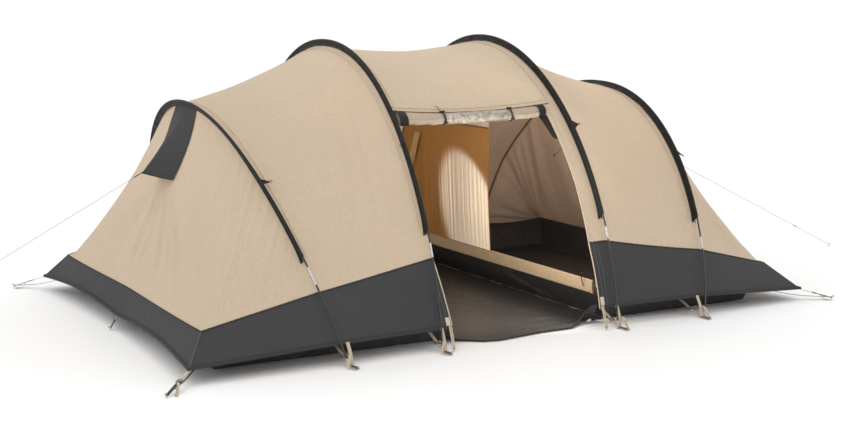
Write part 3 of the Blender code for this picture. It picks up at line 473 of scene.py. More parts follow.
SAND = (0.745, 0.600, 0.442)
DARK_GREY = (0.055, 0.055, 0.056)
BLACK_CLOTH = (0.014, 0.013, 0.012)
LOOKS = {
    "sand": cloth_material("sand_cloth", SAND, glow=0.30, mottle=0.03, crumple=0.006, crumple_scale=5.0, sheen=0.1),
    "sand_seam": cloth_material("sand_seam", tint(SAND, 0.84), mottle=0.04, thread=0.0024, weave=0.4, sheen=0.1),
    # The rolled door is the fly's sand cloth, tinted darker: painted shade over the roll.
    "roll": cloth_material("roll_cloth_painted_shade", tint(SAND, 0.60), mottle=0.04, crumple=0.006, crumple_scale=14.0, sheen=0.1),
    "mudwall": cloth_material("mudwall_cloth", DARK_GREY, roughness=0.8, mottle=0.05, crumple=0.003, sheen=0.03,
                              specular=0.12),
    "mudwall_seam": cloth_material("mudwall_seam", tint(DARK_GREY, 0.8), roughness=0.8, weave=0.4, sheen=0.03,
                                   specular=0.12),
    # The seams are real; their lighter colour, half as bright again as the mudwall, is painted sheen.
    "mudwall_light": cloth_material("mudwall_binding", tint(DARK_GREY, 1.5), roughness=0.7, weave=0.4, sheen=0.03),
    # A patch on the inner side of the right door jamb; its brown-black colour is painted shade.
    "dark_flap": cloth_material("dark_flap", (0.026, 0.019, 0.015), mottle=0.10, sheen=0.0),
    "sleeve": cloth_material("sleeve_cloth", BLACK_CLOTH, roughness=0.6, mottle=0.12, crumple=0.010, sheen=0.02,
                             crumple_scale=30.0, thread=0.0022, weave=0.5, specular=0.25),
    "tray": cloth_material("groundsheet_cloth", (0.035, 0.034, 0.034), roughness=0.42, sheen=0.0,
                           mottle=0.15, crumple=0.010, crumple_scale=7.0, thread=0.0030, specular=0.5),
    "cabin": cloth_material("cabin_cloth", (0.620, 0.495, 0.400), glow=0.40, mottle=0.05, crumple=0.012, sheen=0.1),
    # The cabin's front panel is pale peach cloth; its ochre base colour is painted shade and warm light that comes
    # through the fly.
    "ochre": cloth_material("ochre_cloth", (0.460, 0.225, 0.065), glow=0.20, mottle=0.06, crumple=0.004, sheen=0.05),
    "tape": cloth_material("threshold_tape", (0.500, 0.360, 0.210), mottle=0.06, thread=0.0030, weave=0.5,
                           crumple=0.004, crumple_scale=20.0),
    "webbing": webbing_material("webbing", (0.520, 0.430, 0.310)),
    "dark_webbing": webbing_material("dark_webbing", (0.020, 0.020, 0.020)),
    "pole": hard_material("pole", (0.018, 0.018, 0.019), 0.32, coat=0.3),
    "steel": hard_material("ferrule", (0.56, 0.56, 0.58), 0.25, metallic=1.0, wear=0.05),
    "plastic": hard_material("buckle_plastic", (0.015, 0.015, 0.015), 0.45),
    "peg": hard_material("peg_steel", (0.45, 0.43, 0.39), 0.45, metallic=0.6),
    "film": film_material(),
    "piping": cloth_material("beige_piping", tint(SAND, 0.85), mottle=0.05, thread=0.0020, weave=0.5),
    "brown_seam": cloth_material("brown_seam", (0.190, 0.110, 0.062), mottle=0.08, thread=0.0020, weave=0.5,
                                 sheen=0.05),
    "pale_ochre": cloth_material("pale_ochre", (0.640, 0.430, 0.180), glow=0.20, mottle=0.04),
    "elastic": hard_material("elastic_cord", (0.016, 0.016, 0.016), 0.7, wear=0.3),
    "guy_cord": hard_material("guy_cord", (0.36, 0.34, 0.38), 0.7, wear=0.25),
}


# Mesh building
class Shape:
    """Points and faces of one piece, gathered from several parts with their own looks."""

    def __init__(self):
        self.points = []
        self.cuts = []
        self.faces = []
        self.face_looks = []

    def add(self, points, faces, look, cut=None):
        points = np.asarray(points, float).reshape(-1, 3)
        start = sum(len(p) for p in self.points)
        self.points.append(points)
        if cut is None:
            cut = points[:, [0, 2]]
        self.cuts.append(np.asarray(cut, float).reshape(-1, 2))
        self.faces += [tuple(i + start for i in face) for face in faces]
        self.face_looks += [look] * len(faces)

    def make(self, name, replaces=(), smooth=True):
        points = np.concatenate(self.points)
        cuts = np.concatenate(self.cuts)
        mesh = bpy.data.meshes.new(name)
        mesh.from_pydata(points.tolist(), [], self.faces)
        names = sorted(set(self.face_looks))
        for look in names:
            mesh.materials.append(LOOKS[look])
        mesh.polygons.foreach_set("material_index", [names.index(look) for look in self.face_looks])
        mesh.polygons.foreach_set("use_smooth", [smooth] * len(mesh.polygons))
        layer = mesh.attributes.new("cut", "FLOAT_VECTOR", "POINT")
        layer.data.foreach_set("vector", np.column_stack([cuts, np.zeros(len(cuts))]).ravel())
        mesh.update()
        made = bpy.data.objects.new(name, mesh)
        bpy.context.scene.collection.objects.link(made)
        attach(made, "root")
        if replaces:
            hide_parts(*replaces)
        return made


def grid_faces(rows, columns, keep=None, wrap=False):
    faces = []
    for r in range(rows - 1):
        for c in range(columns if wrap else columns - 1):
            if keep is not None and not keep[r][c]:
                continue
            a = r * columns + c
            b = r * columns + (c + 1) % columns
            faces.append((a, b, b + columns, a + columns))
    return faces


def cut_of(grid):
    """Flat places of a grid's points: along its rows from the middle, and up its columns."""
    across = np.linalg.norm(np.diff(grid, axis=1), axis=2)
    across = np.concatenate([np.zeros((len(grid), 1)), np.cumsum(across, axis=1)], axis=1)
    across = across - across[:, [grid.shape[1] // 2]]
    upward = np.linalg.norm(np.diff(grid, axis=0), axis=2)
    upward = np.concatenate([np.zeros((1, grid.shape[1])), np.cumsum(upward, axis=0)], axis=0)
    return np.stack([across, upward], axis=-1)


def area_of(grid, keep=None):
    a = grid[:-1, :-1]
    b = grid[:-1, 1:]
    c = grid[1:, 1:]
    d = grid[1:, :-1]
    area = (np.linalg.norm(np.cross(b - a, c - a), axis=2) + np.linalg.norm(np.cross(c - a, d - a), axis=2)) / 2
    return float((area * keep).sum() if keep is not None else area.sum())


def add_grid(shape, grid, look, keep=None):
    shape.add(grid, grid_faces(grid.shape[0], grid.shape[1], keep), look, cut_of(grid))


def make_sheet(name, nodes, points, look, keep=None):
    """One grid of cloth as a piece of its own."""
    shape = Shape()
    add_grid(shape, points, look, keep)
    shape.make(name, nodes)


def add_tube(shape, path, radius, look, sides=10, closed=True):
    path = np.asarray(path, float)
    radius = np.broadcast_to(np.asarray(radius, float), (len(path),))
    along = unit(np.gradient(path, axis=0))
    side = unit(np.cross(along[0], vec(0.31, 0.95, 0.07)))
    rings = []
    for p, way, r in zip(path, along, radius):
        side = unit(side - way * (side @ way))
        up = np.cross(way, side)
        turns = np.linspace(0, 2 * math.pi, sides, endpoint=False)[:, None]
        rings.append(p + r * (np.cos(turns) * side + np.sin(turns) * up))
    faces = grid_faces(len(path), sides, wrap=True)
    if closed:
        faces.append(tuple(reversed(range(sides))))
        faces.append(tuple((len(path) - 1) * sides + s for s in range(sides)))
    shape.add(np.array(rings), faces, look)


def add_strap(shape, path, side, width, thickness, look):
    """Flat tape along a path, its edges a little rounded."""
    path = np.asarray(path, float)
    side = np.broadcast_to(unit(np.asarray(side, float)), path.shape)
    along = unit(np.gradient(path, axis=0))
    up = unit(np.cross(along, side))
    h = width / 2
    t = thickness / 2
    profile = ((-h, 0), (-h + t, -t), (h - t, -t), (h, 0), (h - t, t), (-h + t, t))
    rings = np.array([path + side * a + up * b for a, b in profile]).transpose(1, 0, 2)
    count = len(path)
    faces = grid_faces(count, 6, wrap=True)
    faces.append(tuple(reversed(range(6))))
    faces.append(tuple((count - 1) * 6 + s for s in range(6)))
    length = lengths_along(path)
    cut = np.stack([np.broadcast_to([a for a, _ in profile], (count, 6)),
                    np.broadcast_to(length[:, None], (count, 6))], axis=-1)
    shape.add(rings, faces, look, cut)


def add_band(shape, points, normals, width, rise, look):
    """A seam's raised strip along a line on cloth."""
    points = np.asarray(points, float)
    along = unit(np.gradient(points, axis=0))
    across = unit(np.cross(normals, along))
    profile = ((-0.5, -0.0004), (-0.46, 0.8), (-0.15, 1.0), (0.15, 1.0), (0.46, 0.8), (0.5, -0.0004))
    columns = []
    for a, b in profile:
        lift = b * rise if b > 0 else -0.0004
        columns.append(points + across * (a * width) + normals * lift)
    grid = np.array(columns).transpose(1, 0, 2)
    add_grid(shape, grid, look)


def curve_through(points, count):
    """A smooth path through a few points."""
    points = np.asarray(points, float)
    place = lengths_along(points)
    fine = np.linspace(0, place[-1], count)
    slopes = np.gradient(points, place, axis=0)
    found = np.clip(np.searchsorted(place, fine) - 1, 0, len(place) - 2)
    gap = (place[found + 1] - place[found])[:, None]
    s = ((fine - place[found]) / gap[:, 0])[:, None]
    return ((2 * s ** 3 - 3 * s ** 2 + 1) * points[found] + (s ** 3 - 2 * s ** 2 + s) * gap * slopes[found]
            + (3 * s ** 2 - 2 * s ** 3) * points[found + 1] + (s ** 3 - s ** 2) * gap * slopes[found + 1])


# Poles and their sleeves
def pole_radius(k, height):
    if height <= TIP_LENGTH:
        return TIP_RADIUS, "steel"
    if FERRULE_LOW[k] <= height <= FERRULE_HIGH[k]:
        return FERRULE_RADIUS, "steel"
    return POLE_RADIUS, "pole"


def make_pole(k):
    """One rod from ground to ground, with its ferrules and tips."""
    marks = [0.008, TIP_LENGTH, TIP_LENGTH + 0.001, FERRULE_LOW[k] - 0.001, FERRULE_LOW[k],
             FERRULE_HIGH[k], FERRULE_HIGH[k] + 0.001]
    front = sorted({arch_angle(k, h) for h in marks} | set(np.linspace(arch_angle(k, 0.03), 1.0, 60)))
    angles = np.array(front + list(np.linspace(1.02, math.pi - 1.02, 60)) + [math.pi - t for t in reversed(front)])
    here, along, across, out = ridge_frame(k, angles)
    sides = 12
    rings = []
    looks = []
    for p, a, o in zip(here, across, out):
        radius, look = pole_radius(k, p[2])
        turns = np.linspace(0, 2 * math.pi, sides, endpoint=False)[:, None]
        rings.append(p + radius * (np.cos(turns) * a + np.sin(turns) * o))
        looks.append(look)
    for n, tangent in ((0, along[0]), (-1, along[-1])):
        rings[n] = rings[n] - tangent * (rings[n][:, 2:] / tangent[2])
    faces = grid_faces(len(rings), sides, wrap=True)
    shape = Shape()
    shape.add(np.array(rings), faces, "pole")
    shape.face_looks = [looks[1 + n // sides] if n // sides + 1 < len(looks) else "steel" for n in range(len(faces))]
    shape.faces.append(tuple(reversed(range(sides))))
    shape.faces.append(tuple((len(rings) - 1) * sides + s for s in range(sides)))
    shape.face_looks += ["steel", "steel"]
    shape.make("rod_%d" % (k + 1), ["pole_%d" % (k + 1)])


def make_sleeve(k):
    """A fin of folded cloth along the arch, with the pole in its outer edge."""
    top = 0.0093
    turns = np.radians(np.linspace(-38, 218, 13))
    round_pole = [(top * math.cos(a), top * math.sin(a)) for a in turns]
    web = [(0.0034, -0.016), (0.0026, -0.026), (0.0032, -0.035), (0.0110, -0.0398)]
    profile = list(reversed(web)) + round_pole + [(-a, b) for a, b in web]
    t = np.linspace(arch_angle(k, SLEEVE_END_HEIGHT[k]), math.pi - arch_angle(k, SLEEVE_END_HEIGHT[k]), 220)
    here, along, across, out = ridge_frame(k, t)
    length = lengths_along(here)
    total = length[-1]
    near_end = np.minimum(length, total - length)
    flare = np.exp(-near_end / 0.035)
    way = np.where(length < total / 2, -1.0, 1.0)
    columns = []
    for a, b in profile:
        depth = np.clip((-b - 0.006) / 0.034, 0, 1)
        wave = depth * (1 - depth) * 4 * 0.0035 * ripples(length / 0.16, 31 + k)
        pucker = depth * 0.0016 * ripples(length / 0.045, 51 + k) * (1 - depth)
        spread = a * (1 + 0.9 * flare * depth)
        column = here + across * (spread + wave + pucker)[:, None] + out * (b + 0.0006)
        column = column + along * (way * flare * depth * 0.030)[:, None]
        columns.append(column)
    grid = np.array(columns).transpose(1, 0, 2)
    shape = Shape()
    add_grid(shape, grid, "sleeve")
    made = shape.make("sleeve_cloth_%d" % (k + 1), ["sleeve_%d" % (k + 1)])


# The fly
def puckers(distance, along, reach, depth, length, seed):
    """Small gathers that stand on a seam and die out away from it."""
    return depth * np.exp(-distance / reach) * ripples(along / length, seed)


def bay_relief(bay, u, v, cut, seed):
    """How far the cloth of a bay stands out from its smooth shape."""
    width = ARCH_X[bay + 1] - ARCH_X[bay]
    x = cut[..., 0]
    y = cut[..., 1]
    left = u * width
    right = (1 - u) * width
    pinned = np.clip(4 * u * (1 - u), 0, 1) ** 0.5
    crown = np.clip(np.sin(math.pi * (v - 3) / 16), 0, 1)
    relief = puckers(left, y, 0.10, 0.0030, 0.085, seed) + puckers(right, y, 0.10, 0.0030, 0.085, seed + 1)
    relief = relief + puckers(left, y, 0.30, 0.0040, 0.22, seed + 2) * pinned
    relief = relief + puckers(right, y, 0.30, 0.0040, 0.22, seed + 3) * pinned
    relief = relief + 0.0035 * waves(x / 0.9, y / 0.55, seed + 4) * pinned * (0.4 + 0.6 * crown)
    return relief * pinned ** 0.6


# Creases of the left bay: from, to, width and depth, by their places on the flat cloth
LEFT_BAY_FOLDS = (((0.28, 1.55), (-0.02, 0.15), 0.035, 0.010), ((0.30, 1.30), (0.10, 0.10), 0.030, 0.007),
                  ((-0.22, 1.25), (-0.30, 0.30), 0.030, 0.006), ((0.30, 1.80), (0.12, 1.15), 0.030, 0.006))


def make_bay(bay, name):
    count = 46 if bay != 1 else 76
    rows = np.linspace(MUD_STATION, BACK_MUD_STATION, 200)
    if bay == 1:
        rows = np.unique(np.concatenate([rows, [SHOULDER_STATION]]))
    u, v = np.meshgrid(np.linspace(0, 1, count), rows)
    keep = np.ones((len(rows) - 1, count - 1))
    if bay == 1:
        left = door_share(np.minimum(rows, SHOULDER_STATION), DOOR_LEFT_X)
        right = door_share(np.minimum(rows, SHOULDER_STATION), DOOR_RIGHT_X)
        jamb = 6
        inner = count - 2 * jamb
        u = np.array([np.concatenate([np.linspace(0, a, jamb, endpoint=False), np.linspace(a, b, inner),
                                      np.linspace(b, 1, jamb + 1)[1:]]) for a, b in zip(left, right)])
        v = np.broadcast_to(rows[:, None], u.shape)
        doorway = rows[:-1] < SHOULDER_STATION - 1e-9
        keep[np.ix_(doorway, range(jamb, jamb + inner - 1))] = 0
    points, out = bay_point(bay, u, v)
    cut = cut_of(points)
    relief = bay_relief(bay, u, v, cut, 11 * bay + 3)
    middle = cut[..., 1] - cut[..., 1].mean(axis=0)
    if bay == 0:
        for start, end, width, depth in LEFT_BAY_FOLDS:
            relief = relief + fold(cut[..., 0], cut[..., 1], start, end, width, depth)
        for n in range(7):
            line = 0.03 + 0.05 * n
            relief = relief + 0.0016 * np.exp(-((middle + 0.35 - line) / 0.012) ** 2) * np.sin(math.pi * u) ** 0.5
    if bay == 1:
        lintel = np.exp(-((v - SHOULDER_STATION) / 0.5) ** 2)
        relief = relief * (1 - 0.7 * lintel)
    points = points + out * relief[..., None]
    make_sheet("%s_bay_cloth" % name, ["fly_%s_bay" % name], points, "sand",
               keep)


def soften(grid, rounds):
    """Even out a grid along its rows, with its edges left where they are."""
    for _ in range(rounds):
        middle = grid[1:-1, 1:-1]
        around = (grid[:-2, 1:-1] + grid[2:, 1:-1]) / 2
        grid[1:-1, 1:-1] = mix(middle, around, 0.6)
    return grid


# Folds of an end from its hood down to the mudwall: from, to, width and depth, by y and z
END_FOLDS = (((-0.19, 1.01), (-1.03, 0.36), 0.030, 0.016), ((0.06, 1.04), (0.15, 0.31), 0.022, 0.022),
             ((0.00, 1.04), (-0.10, 0.33), 0.020, 0.014), ((0.20, 0.99), (0.66, 0.32), 0.028, 0.020),
             ((0.30, 0.93), (1.08, 0.33), 0.026, 0.014), ((-0.08, 0.98), (-0.57, 0.31), 0.026, 0.016),
             ((-0.65, 0.98), (-1.47, 0.34), 0.040, 0.010), ((-1.02, 1.12), (-1.20, 0.84), 0.018, 0.008),
             ((-0.15, 1.03), (-0.80, 0.34), 0.022, 0.012))


def make_end(end, side):
    k = end_arch(end)
    rows = np.concatenate([np.linspace(MUD_STATION + 0.05, SHOULDER_STATION, 60, endpoint=False),
                           np.linspace(SHOULDER_STATION, BACK_SHOULDER_STATION, 100, endpoint=False),
                           np.linspace(BACK_SHOULDER_STATION, BACK_MUD_STATION - 0.05, 60)])
    seam, seam_out = mud_seam(end, rows)
    top, top_out = at_station(k, rows)
    w = np.linspace(0, 1, 60)
    points = mix(seam[:, None], top[:, None], w[None, :, None])
    out = unit(mix(seam_out[:, None], top_out[:, None], w[None, :, None]))
    slack = np.minimum(np.linalg.norm(top - seam, axis=-1), 1.0)
    points = points - out * (END_SAG[end] * slack[:, None] * 4 * w * (1 - w))[..., None]
    points = soften(points, 60)
    share = crown_share(rows)[:, None]
    cut = cut_of(points)
    reach = cut[..., 0] - cut[:, :1, 0]
    length = reach[:, -1:]
    edge = np.clip(np.minimum(reach, length - reach) / 0.12, 0, 1) ** 0.7
    long_folds = np.zeros(reach.shape)
    for start, finish, width, depth in END_FOLDS:
        long_folds = long_folds + fold(points[..., 1], points[..., 2], start, finish, width, depth)
    v = np.broadcast_to(rows[:, None], reach.shape)
    fan = ripples(v / 0.55, 71 + end) * 0.0050 + ripples(v / 0.23, 73 + end) * 0.0022
    fade = np.clip(length / 1.2, 0, 1)
    relief = fan * edge * fade * (0.35 + 0.65 * np.abs(2 * share - 1)) + long_folds * edge
    relief = relief + puckers(length - reach, cut[..., 1], 0.12, 0.003, 0.09, 75 + end) * edge
    relief = relief + puckers(reach, cut[..., 1], 0.18, 0.003, 0.14, 77 + end) * edge
    points = points + out * relief[..., None]
    make_sheet("%s_end_cloth" % side, ["fly_%s_end" % side], points, "sand")
    return points


# Vent hoods and their guy lines
def surface_x(points, y, z):
    """x of a cloth at places given by y and z, on the plane through its nearest points."""
    flat = points.reshape(-1, 3)
    found = np.empty(y.shape)
    for place in np.ndindex(y.shape):
        away = flat[:, 1:] - (y[place], z[place])
        near = np.argpartition((away ** 2).sum(axis=1), 10)[:10]
        terms = np.column_stack([np.ones(10), away[near]])
        found[place] = np.linalg.lstsq(terms, flat[near, 0], rcond=None)[0][0]
    return found


def make_hood(end, side, cloth):
    """A hood over a vent, sewn on under the pole and drawn out to a point by its guy line."""
    k = end_arch(end)
    way = -1 if end == 0 else 1
    crown = fly_edge(k, math.pi / 2)[0]
    fall = unit(vec(END_X[end] - crown[0], 0, END_HEM_HEIGHT[end] - crown[2]))
    normal = unit(vec(-fall[2] * way, 0, fall[0] * way))
    a, b = np.meshgrid(np.linspace(-1, 1, 61), np.linspace(0, 1, 45))
    y = a * (mix(HOOD_TOP_HALF_WIDTH, HOOD_FOOT_HALF_WIDTH, b) + HOOD_BOW * np.sin(math.pi * b))
    top = fly_edge(k, math.pi / 2 + 0.75 * y / ARCH_HALF_WIDTH[k])[0][..., 2] - 0.004
    z = mix(top, mix(HOOD_TIP_HEIGHT, HOOD_FOOT_HEIGHT, np.abs(a)), b)
    aside = np.sqrt(a ** 2 + (0.22 * (1 - b)) ** 2)
    reach = HOOD_REACH * b ** 1.15 * np.clip(1 - aside, 0, 1) ** 0.9
    turn = np.arctan2(y, z - HOOD_TIP_HEIGHT + 0.05)
    distance = np.hypot(y, z - HOOD_TIP_HEIGHT)
    folds = 0.0055 * ripples(turn / 0.42, 131 + end) * np.exp(-distance / 0.22) * np.clip(distance / 0.05, 0, 1)
    slack = 0.0035 * waves(y / 0.25, z / 0.30, 133 + end) * np.sin(math.pi * b)
    stand = 0.0046 + 0.004 * b + (folds + slack) * np.clip((1 - np.abs(a)) / 0.12, 0, 1)
    points = np.stack([surface_x(cloth, y, z), y, z], axis=-1) + normal * stand[..., None]
    points[..., 0] += way * reach
    shape = Shape()
    add_grid(shape, points, "mudwall")
    across = np.broadcast_to(normal, points[:, 0].shape)
    for line in (points[:, 0], points[:, -1]):
        add_band(shape, line, across, 0.010, 0.0018, "mudwall_seam")
    add_band(shape, points[-1], np.broadcast_to(normal, points[-1].shape), 0.012, 0.0018, "mudwall_seam")
    made = shape.make("%s_hood_cloth" % side, ["vent_hood_%s" % side])
    tip = points[-1, 30]
    make_guy_line(way, side, tip)


def make_guy_line(way, side, tip):
    """A cord from the hood's tab to its peg, with its runner."""
    foot = vec(way * (GUY_PEG_X - 0.019), 0, 0)
    aim = foot + vec(0, 0, 0.022)
    pull = unit(aim - tip)
    shape = Shape()
    tab = [tip - pull * 0.012, tip + pull * 0.020, tip + pull * 0.045, tip + pull * 0.070]
    add_strap(shape, tab[:3], vec(0, 1, 0), 0.016, 0.003, "dark_webbing")
    add_tube(shape, tab[2:], (0.004, 0.0025), "dark_webbing")
    length = np.linalg.norm(aim - tip)
    add_tube(shape, [tip + pull * s for s in np.linspace(0.05, length, 30)], 0.0017, "guy_cord", sides=8)
    runner = tip + pull * (length - 0.45)
    add_strap(shape, [runner + pull * s for s in (-0.025, -0.020, 0.020, 0.025)], vec(0, 1, 0), 0.012, 0.005,
              "plastic")
    add_peg(shape, foot, vec(way, 0, 0))
    shape.make("%s_guy_cord" % side, ["guy_line_%s" % side])


def add_peg(shape, foot, outwards):
    """A wire hook from ground level up, bent over away from the tent."""
    path = [foot, foot + vec(0, 0, 0.016), foot + vec(0, 0, 0.025) + outwards * 0.003,
            foot + vec(0, 0, 0.0285) + outwards * 0.009, foot + vec(0, 0, 0.026) + outwards * 0.015,
            foot + vec(0, 0, 0.019) + outwards * 0.018]
    add_tube(shape, curve_through(path, 14), PEG_RADIUS, "peg", sides=8)


# Mudwalls
MUD_STEPS = 16


def ray(start, start_out, end, end_out):
    """A column of a mudwall, from its hem up to its seam, with the ways out."""
    shares = np.linspace(0, 1, MUD_STEPS + 1)[:, None]
    return mix(start, end, shares), unit(mix(start_out, end_out, shares))


def corner_column(end, back):
    v = corner_station(back)
    return ray(end_outline(end, angle_at(end_arch(end), v)), corner_out(end, float(back)), *mud_seam(end, v))


def bay_column(bay, u, back):
    rows = np.linspace(0, MUD_STATION, MUD_STEPS + 1)
    rows = LAST_STATION - rows if back else rows
    if callable(u):
        u = u(np.minimum(rows, LAST_STATION - rows))
    return bay_point(bay, np.broadcast_to(u, rows.shape), rows)


def blend_columns(first, last, count):
    """Columns between two, the last one left out."""
    shares = np.linspace(0, 1, count, endpoint=False)
    return [(mix(first[0], last[0], s), unit(mix(first[1], last[1], s))) for s in shares]


def left_door_share(v):
    return door_share(v, DOOR_LEFT_X)


def right_door_share(v):
    return door_share(v, DOOR_RIGHT_X)


def mud_columns(back, bays):
    """Columns of a mudwall from left to right. bays: number, first share, last share, count."""
    columns = []
    for bay, first, last, count in bays:
        for s in np.linspace(0, 1, count, endpoint=False):
            def share(v, s=s, first=first, last=last):
                a = first(v) if callable(first) else first
                b = last(v) if callable(last) else last
                return mix(a, b, s) * np.ones_like(v)
            columns.append(bay_column(bay, share, back))
    return columns


def make_mudwall(name, columns, seed):
    points = np.array([p for p, _ in columns]).transpose(1, 0, 2)
    out = np.array([o for _, o in columns]).transpose(1, 0, 2)
    cut = cut_of(points)
    x = cut[..., 0]
    share = np.linspace(0, 1, len(points))[:, None]
    hem = np.exp(-share / 0.25)
    relief = 0.0022 * waves(x / 0.30, cut[..., 1] / 0.5, seed) * np.sin(math.pi * share) ** 0.5
    relief = relief + 0.0016 * ripples(x / 0.10, seed + 1) * hem
    points = points + out * relief[..., None]
    make_sheet("%s_skirt" % name, ["mudwall_%s" % name], points, "mudwall")


def make_mudwalls():
    corner = {(end, back): corner_column(end, back) for end in (0, 1) for back in (False, True)}
    front_left = blend_columns(corner[0, False], bay_column(0, 0.0, False), 30)
    front_left += mud_columns(False, [(0, 0.0, 1.0, 40), (1, 0.0, left_door_share, 12)])
    front_left.append(bay_column(1, left_door_share, False))
    front_right = mud_columns(False, [(1, right_door_share, 1.0, 16), (2, 0.0, 1.0, 40)])
    front_right += blend_columns(bay_column(2, 1.0, False), corner[1, False], 30) + [corner[1, False]]
    back = blend_columns(corner[0, True], bay_column(0, 0.0, True), 30)
    back += mud_columns(True, [(0, 0.0, 1.0, 40), (1, 0.0, 1.0, 70), (2, 0.0, 1.0, 40)])
    back += blend_columns(bay_column(2, 1.0, True), corner[1, True], 30) + [corner[1, True]]
    make_mudwall("front_left", front_left, 101)
    make_mudwall("front_right", front_right, 103)
    make_mudwall("back", back, 105)
    for end, name in ((0, "left_end"), (1, "right_end")):
        columns = []
        for v in np.linspace(SHOULDER_STATION, BACK_SHOULDER_STATION, 120):
            foot = end_outline(end, angle_at(end_arch(end), v))
            columns.append(ray(foot, corner_out(end, crown_share(v)), *mud_seam(end, v)))
        make_mudwall(name, columns, 107 + end)


# Groundsheets
APRON_X = (-3.0, -0.570, -0.500, -0.420, -0.330, -0.220, 0.140, 0.400, 0.520, 0.560, 0.590, 0.640, 0.680, 1.0)
APRON_REACH = (0.14, 0.14, 0.10, 0.13, 0.205, 0.235, 0.175, 0.170, 0.095, 0.10, 0.14, 0.14, 0.012, 0.012)
APRON_HEIGHT = (0.14, 0.14, 0.02, 0.006, 0.006, 0.006, 0.006, 0.006, 0.03, 0.09, 0.14, 0.14, 0.006, 0.006)


def make_groundsheet():
    """The living area's floor: a rim all round, let down flat across the doorway."""
    right = CABIN_FLOOR_X[0] - 0.008
    xs = np.concatenate([np.linspace(-1, 0, 9, endpoint=False), np.linspace(FLOOR_LEFT_X, right, 190)])
    left_rise = np.where(np.arange(len(xs)) < 9, -xs, 0.0)
    flat_x = np.where(np.arange(len(xs)) < 9, FLOOR_LEFT_X, xs)
    front = np.linspace(1, 0, 14, endpoint=False)
    middle = np.linspace(-1, 1, 110)
    back = np.linspace(0, 1, 12)[1:]
    side = np.concatenate([-np.ones(14), middle, np.ones(11)])
    rise = np.concatenate([front, np.zeros(110), back])
    x, w = np.meshgrid(flat_x, side)
    lift_x, lift_y = np.meshgrid(left_rise, rise)
    is_front = (w < 0) & (lift_y > 0)
    reach = np.where(is_front, np.interp(x, APRON_X, APRON_REACH), np.where(x > 0.66, 0.012, RIM_SPREAD))
    height = np.where(is_front, np.interp(x, APRON_X, APRON_HEIGHT), np.where(x > 0.66, 0.006, RIM_HEIGHT))
    y = w * FLOOR_HALF_WIDTH + np.sign(w) * reach * lift_y
    z = 0.0035 + np.maximum(height * lift_y ** 1.25, RIM_HEIGHT * lift_x ** 1.25)
    z = z + 0.0012 * (1 + waves(x / 0.45, y / 0.22, 141)) + 0.0005 * (1 + waves(x / 0.12, y / 0.05, 142))
    x = x - RIM_SPREAD * lift_x
    standing = np.clip(np.maximum(height * lift_y, RIM_HEIGHT * lift_x) / 0.05, 0, 1)
    y = y + np.sign(w) * 0.004 * waves(x / 0.2, z / 0.2, 143) * standing * (lift_y > 0)
    x = x - 0.004 * waves(y / 0.2, z / 0.2, 144) * standing * (lift_x > 0)
    points = np.stack([x, y, z], axis=-1)
    shape = Shape()
    add_grid(shape, points, "tray")
    edge = points[0]
    add_band(shape, edge, np.broadcast_to(vec(0, -0.3, 1), edge.shape), 0.010, 0.0018, "mudwall_seam")
    made = shape.make("living_floor", ["groundsheet"])


def tray_point(dx, dy, x, w):
    """A point of the cabin's tray: dx and dy say how far up its end and side walls it is."""
    front = np.clip(-dx, 0, 1)
    back = np.clip(dx, 0, 1)
    along = np.clip((x - CABIN_FLOOR_X[0]) / (CABIN_FLOOR_X[1] - CABIN_FLOOR_X[0]), 0, 1)
    high = mix(THRESHOLD_HEIGHTS[0] - 0.002, CABIN_RIM_HEIGHT, along)
    lift = np.maximum(np.maximum(front, back), dy)
    place_x = x - (CABIN_FLOOR_X[0] - CABIN_RIM_X[0]) * front + (CABIN_RIM_X[1] - CABIN_FLOOR_X[1]) * back
    place_y = w * (FLOOR_HALF_WIDTH + (CABIN_RIM_HALF_WIDTH - FLOOR_HALF_WIDTH) * dy)
    return np.stack([place_x, place_y, 0.0035 + (high - 0.0035) * lift], axis=-1)


def make_cabin_tray():
    count = 22
    dx = np.concatenate([np.linspace(-1, 0, count, endpoint=False), np.zeros(70), np.linspace(0, 1, 15)[1:]])
    x = np.concatenate([np.full(count, CABIN_FLOOR_X[0]), np.linspace(*CABIN_FLOOR_X, 70),
                        np.full(14, CABIN_FLOOR_X[1])])
    dy = np.concatenate([np.linspace(1, 0, 14, endpoint=False), np.zeros(150), np.linspace(0, 1, 15)[1:]])
    w = np.concatenate([-np.ones(14), np.linspace(-1, 1, 150), np.ones(14)])
    grid_x, grid_w = np.meshgrid(x, w)
    grid_dx, grid_dy = np.meshgrid(dx, dy)
    points = tray_point(grid_dx, grid_dy, grid_x, grid_w)
    y = points[..., 1]
    front = np.clip(-grid_dx, 0, 1)
    wall = np.clip(np.maximum(np.abs(grid_dx), grid_dy), 0, 1)
    loose = 4 * front * (1 - front)
    ridge = np.interp(front, (0, 1), (-0.95, -0.05))
    bulge = 1 / (1 + np.exp(-(y - ridge) / 0.035))
    points[..., 0] -= loose * (0.016 * bulge + 0.004 * waves(y / 0.16, front / 0.8, 151) + 0.002)
    points[..., 0] += grid_dx.clip(0, 1) * (1 - grid_dx.clip(0, 1)) * 0.016 * waves(y / 0.25, wall / 0.9, 152)
    points[..., 1] -= grid_w * grid_dy * (1 - grid_dy) * 0.016 * (1 + waves(grid_x / 0.25, grid_dy / 0.9, 153))
    flat = wall < 1e-6
    points[..., 2] += np.where(flat, 0.0016 * (1 + waves(grid_x / 0.5, y / 0.4, 154)), 0.0)
    make_sheet("cabin_floor", ["cabin_groundsheet"], points, "tray")


# The sleeping cabin
def cabin_inset(height):
    return CABIN_INSET + 0.165 * np.maximum(0.0, 1 - height / 0.9)


def cabin_front_x(height):
    return ARCH_X[2] + ARCH_LEAN[2] * height - CABIN_SETBACK


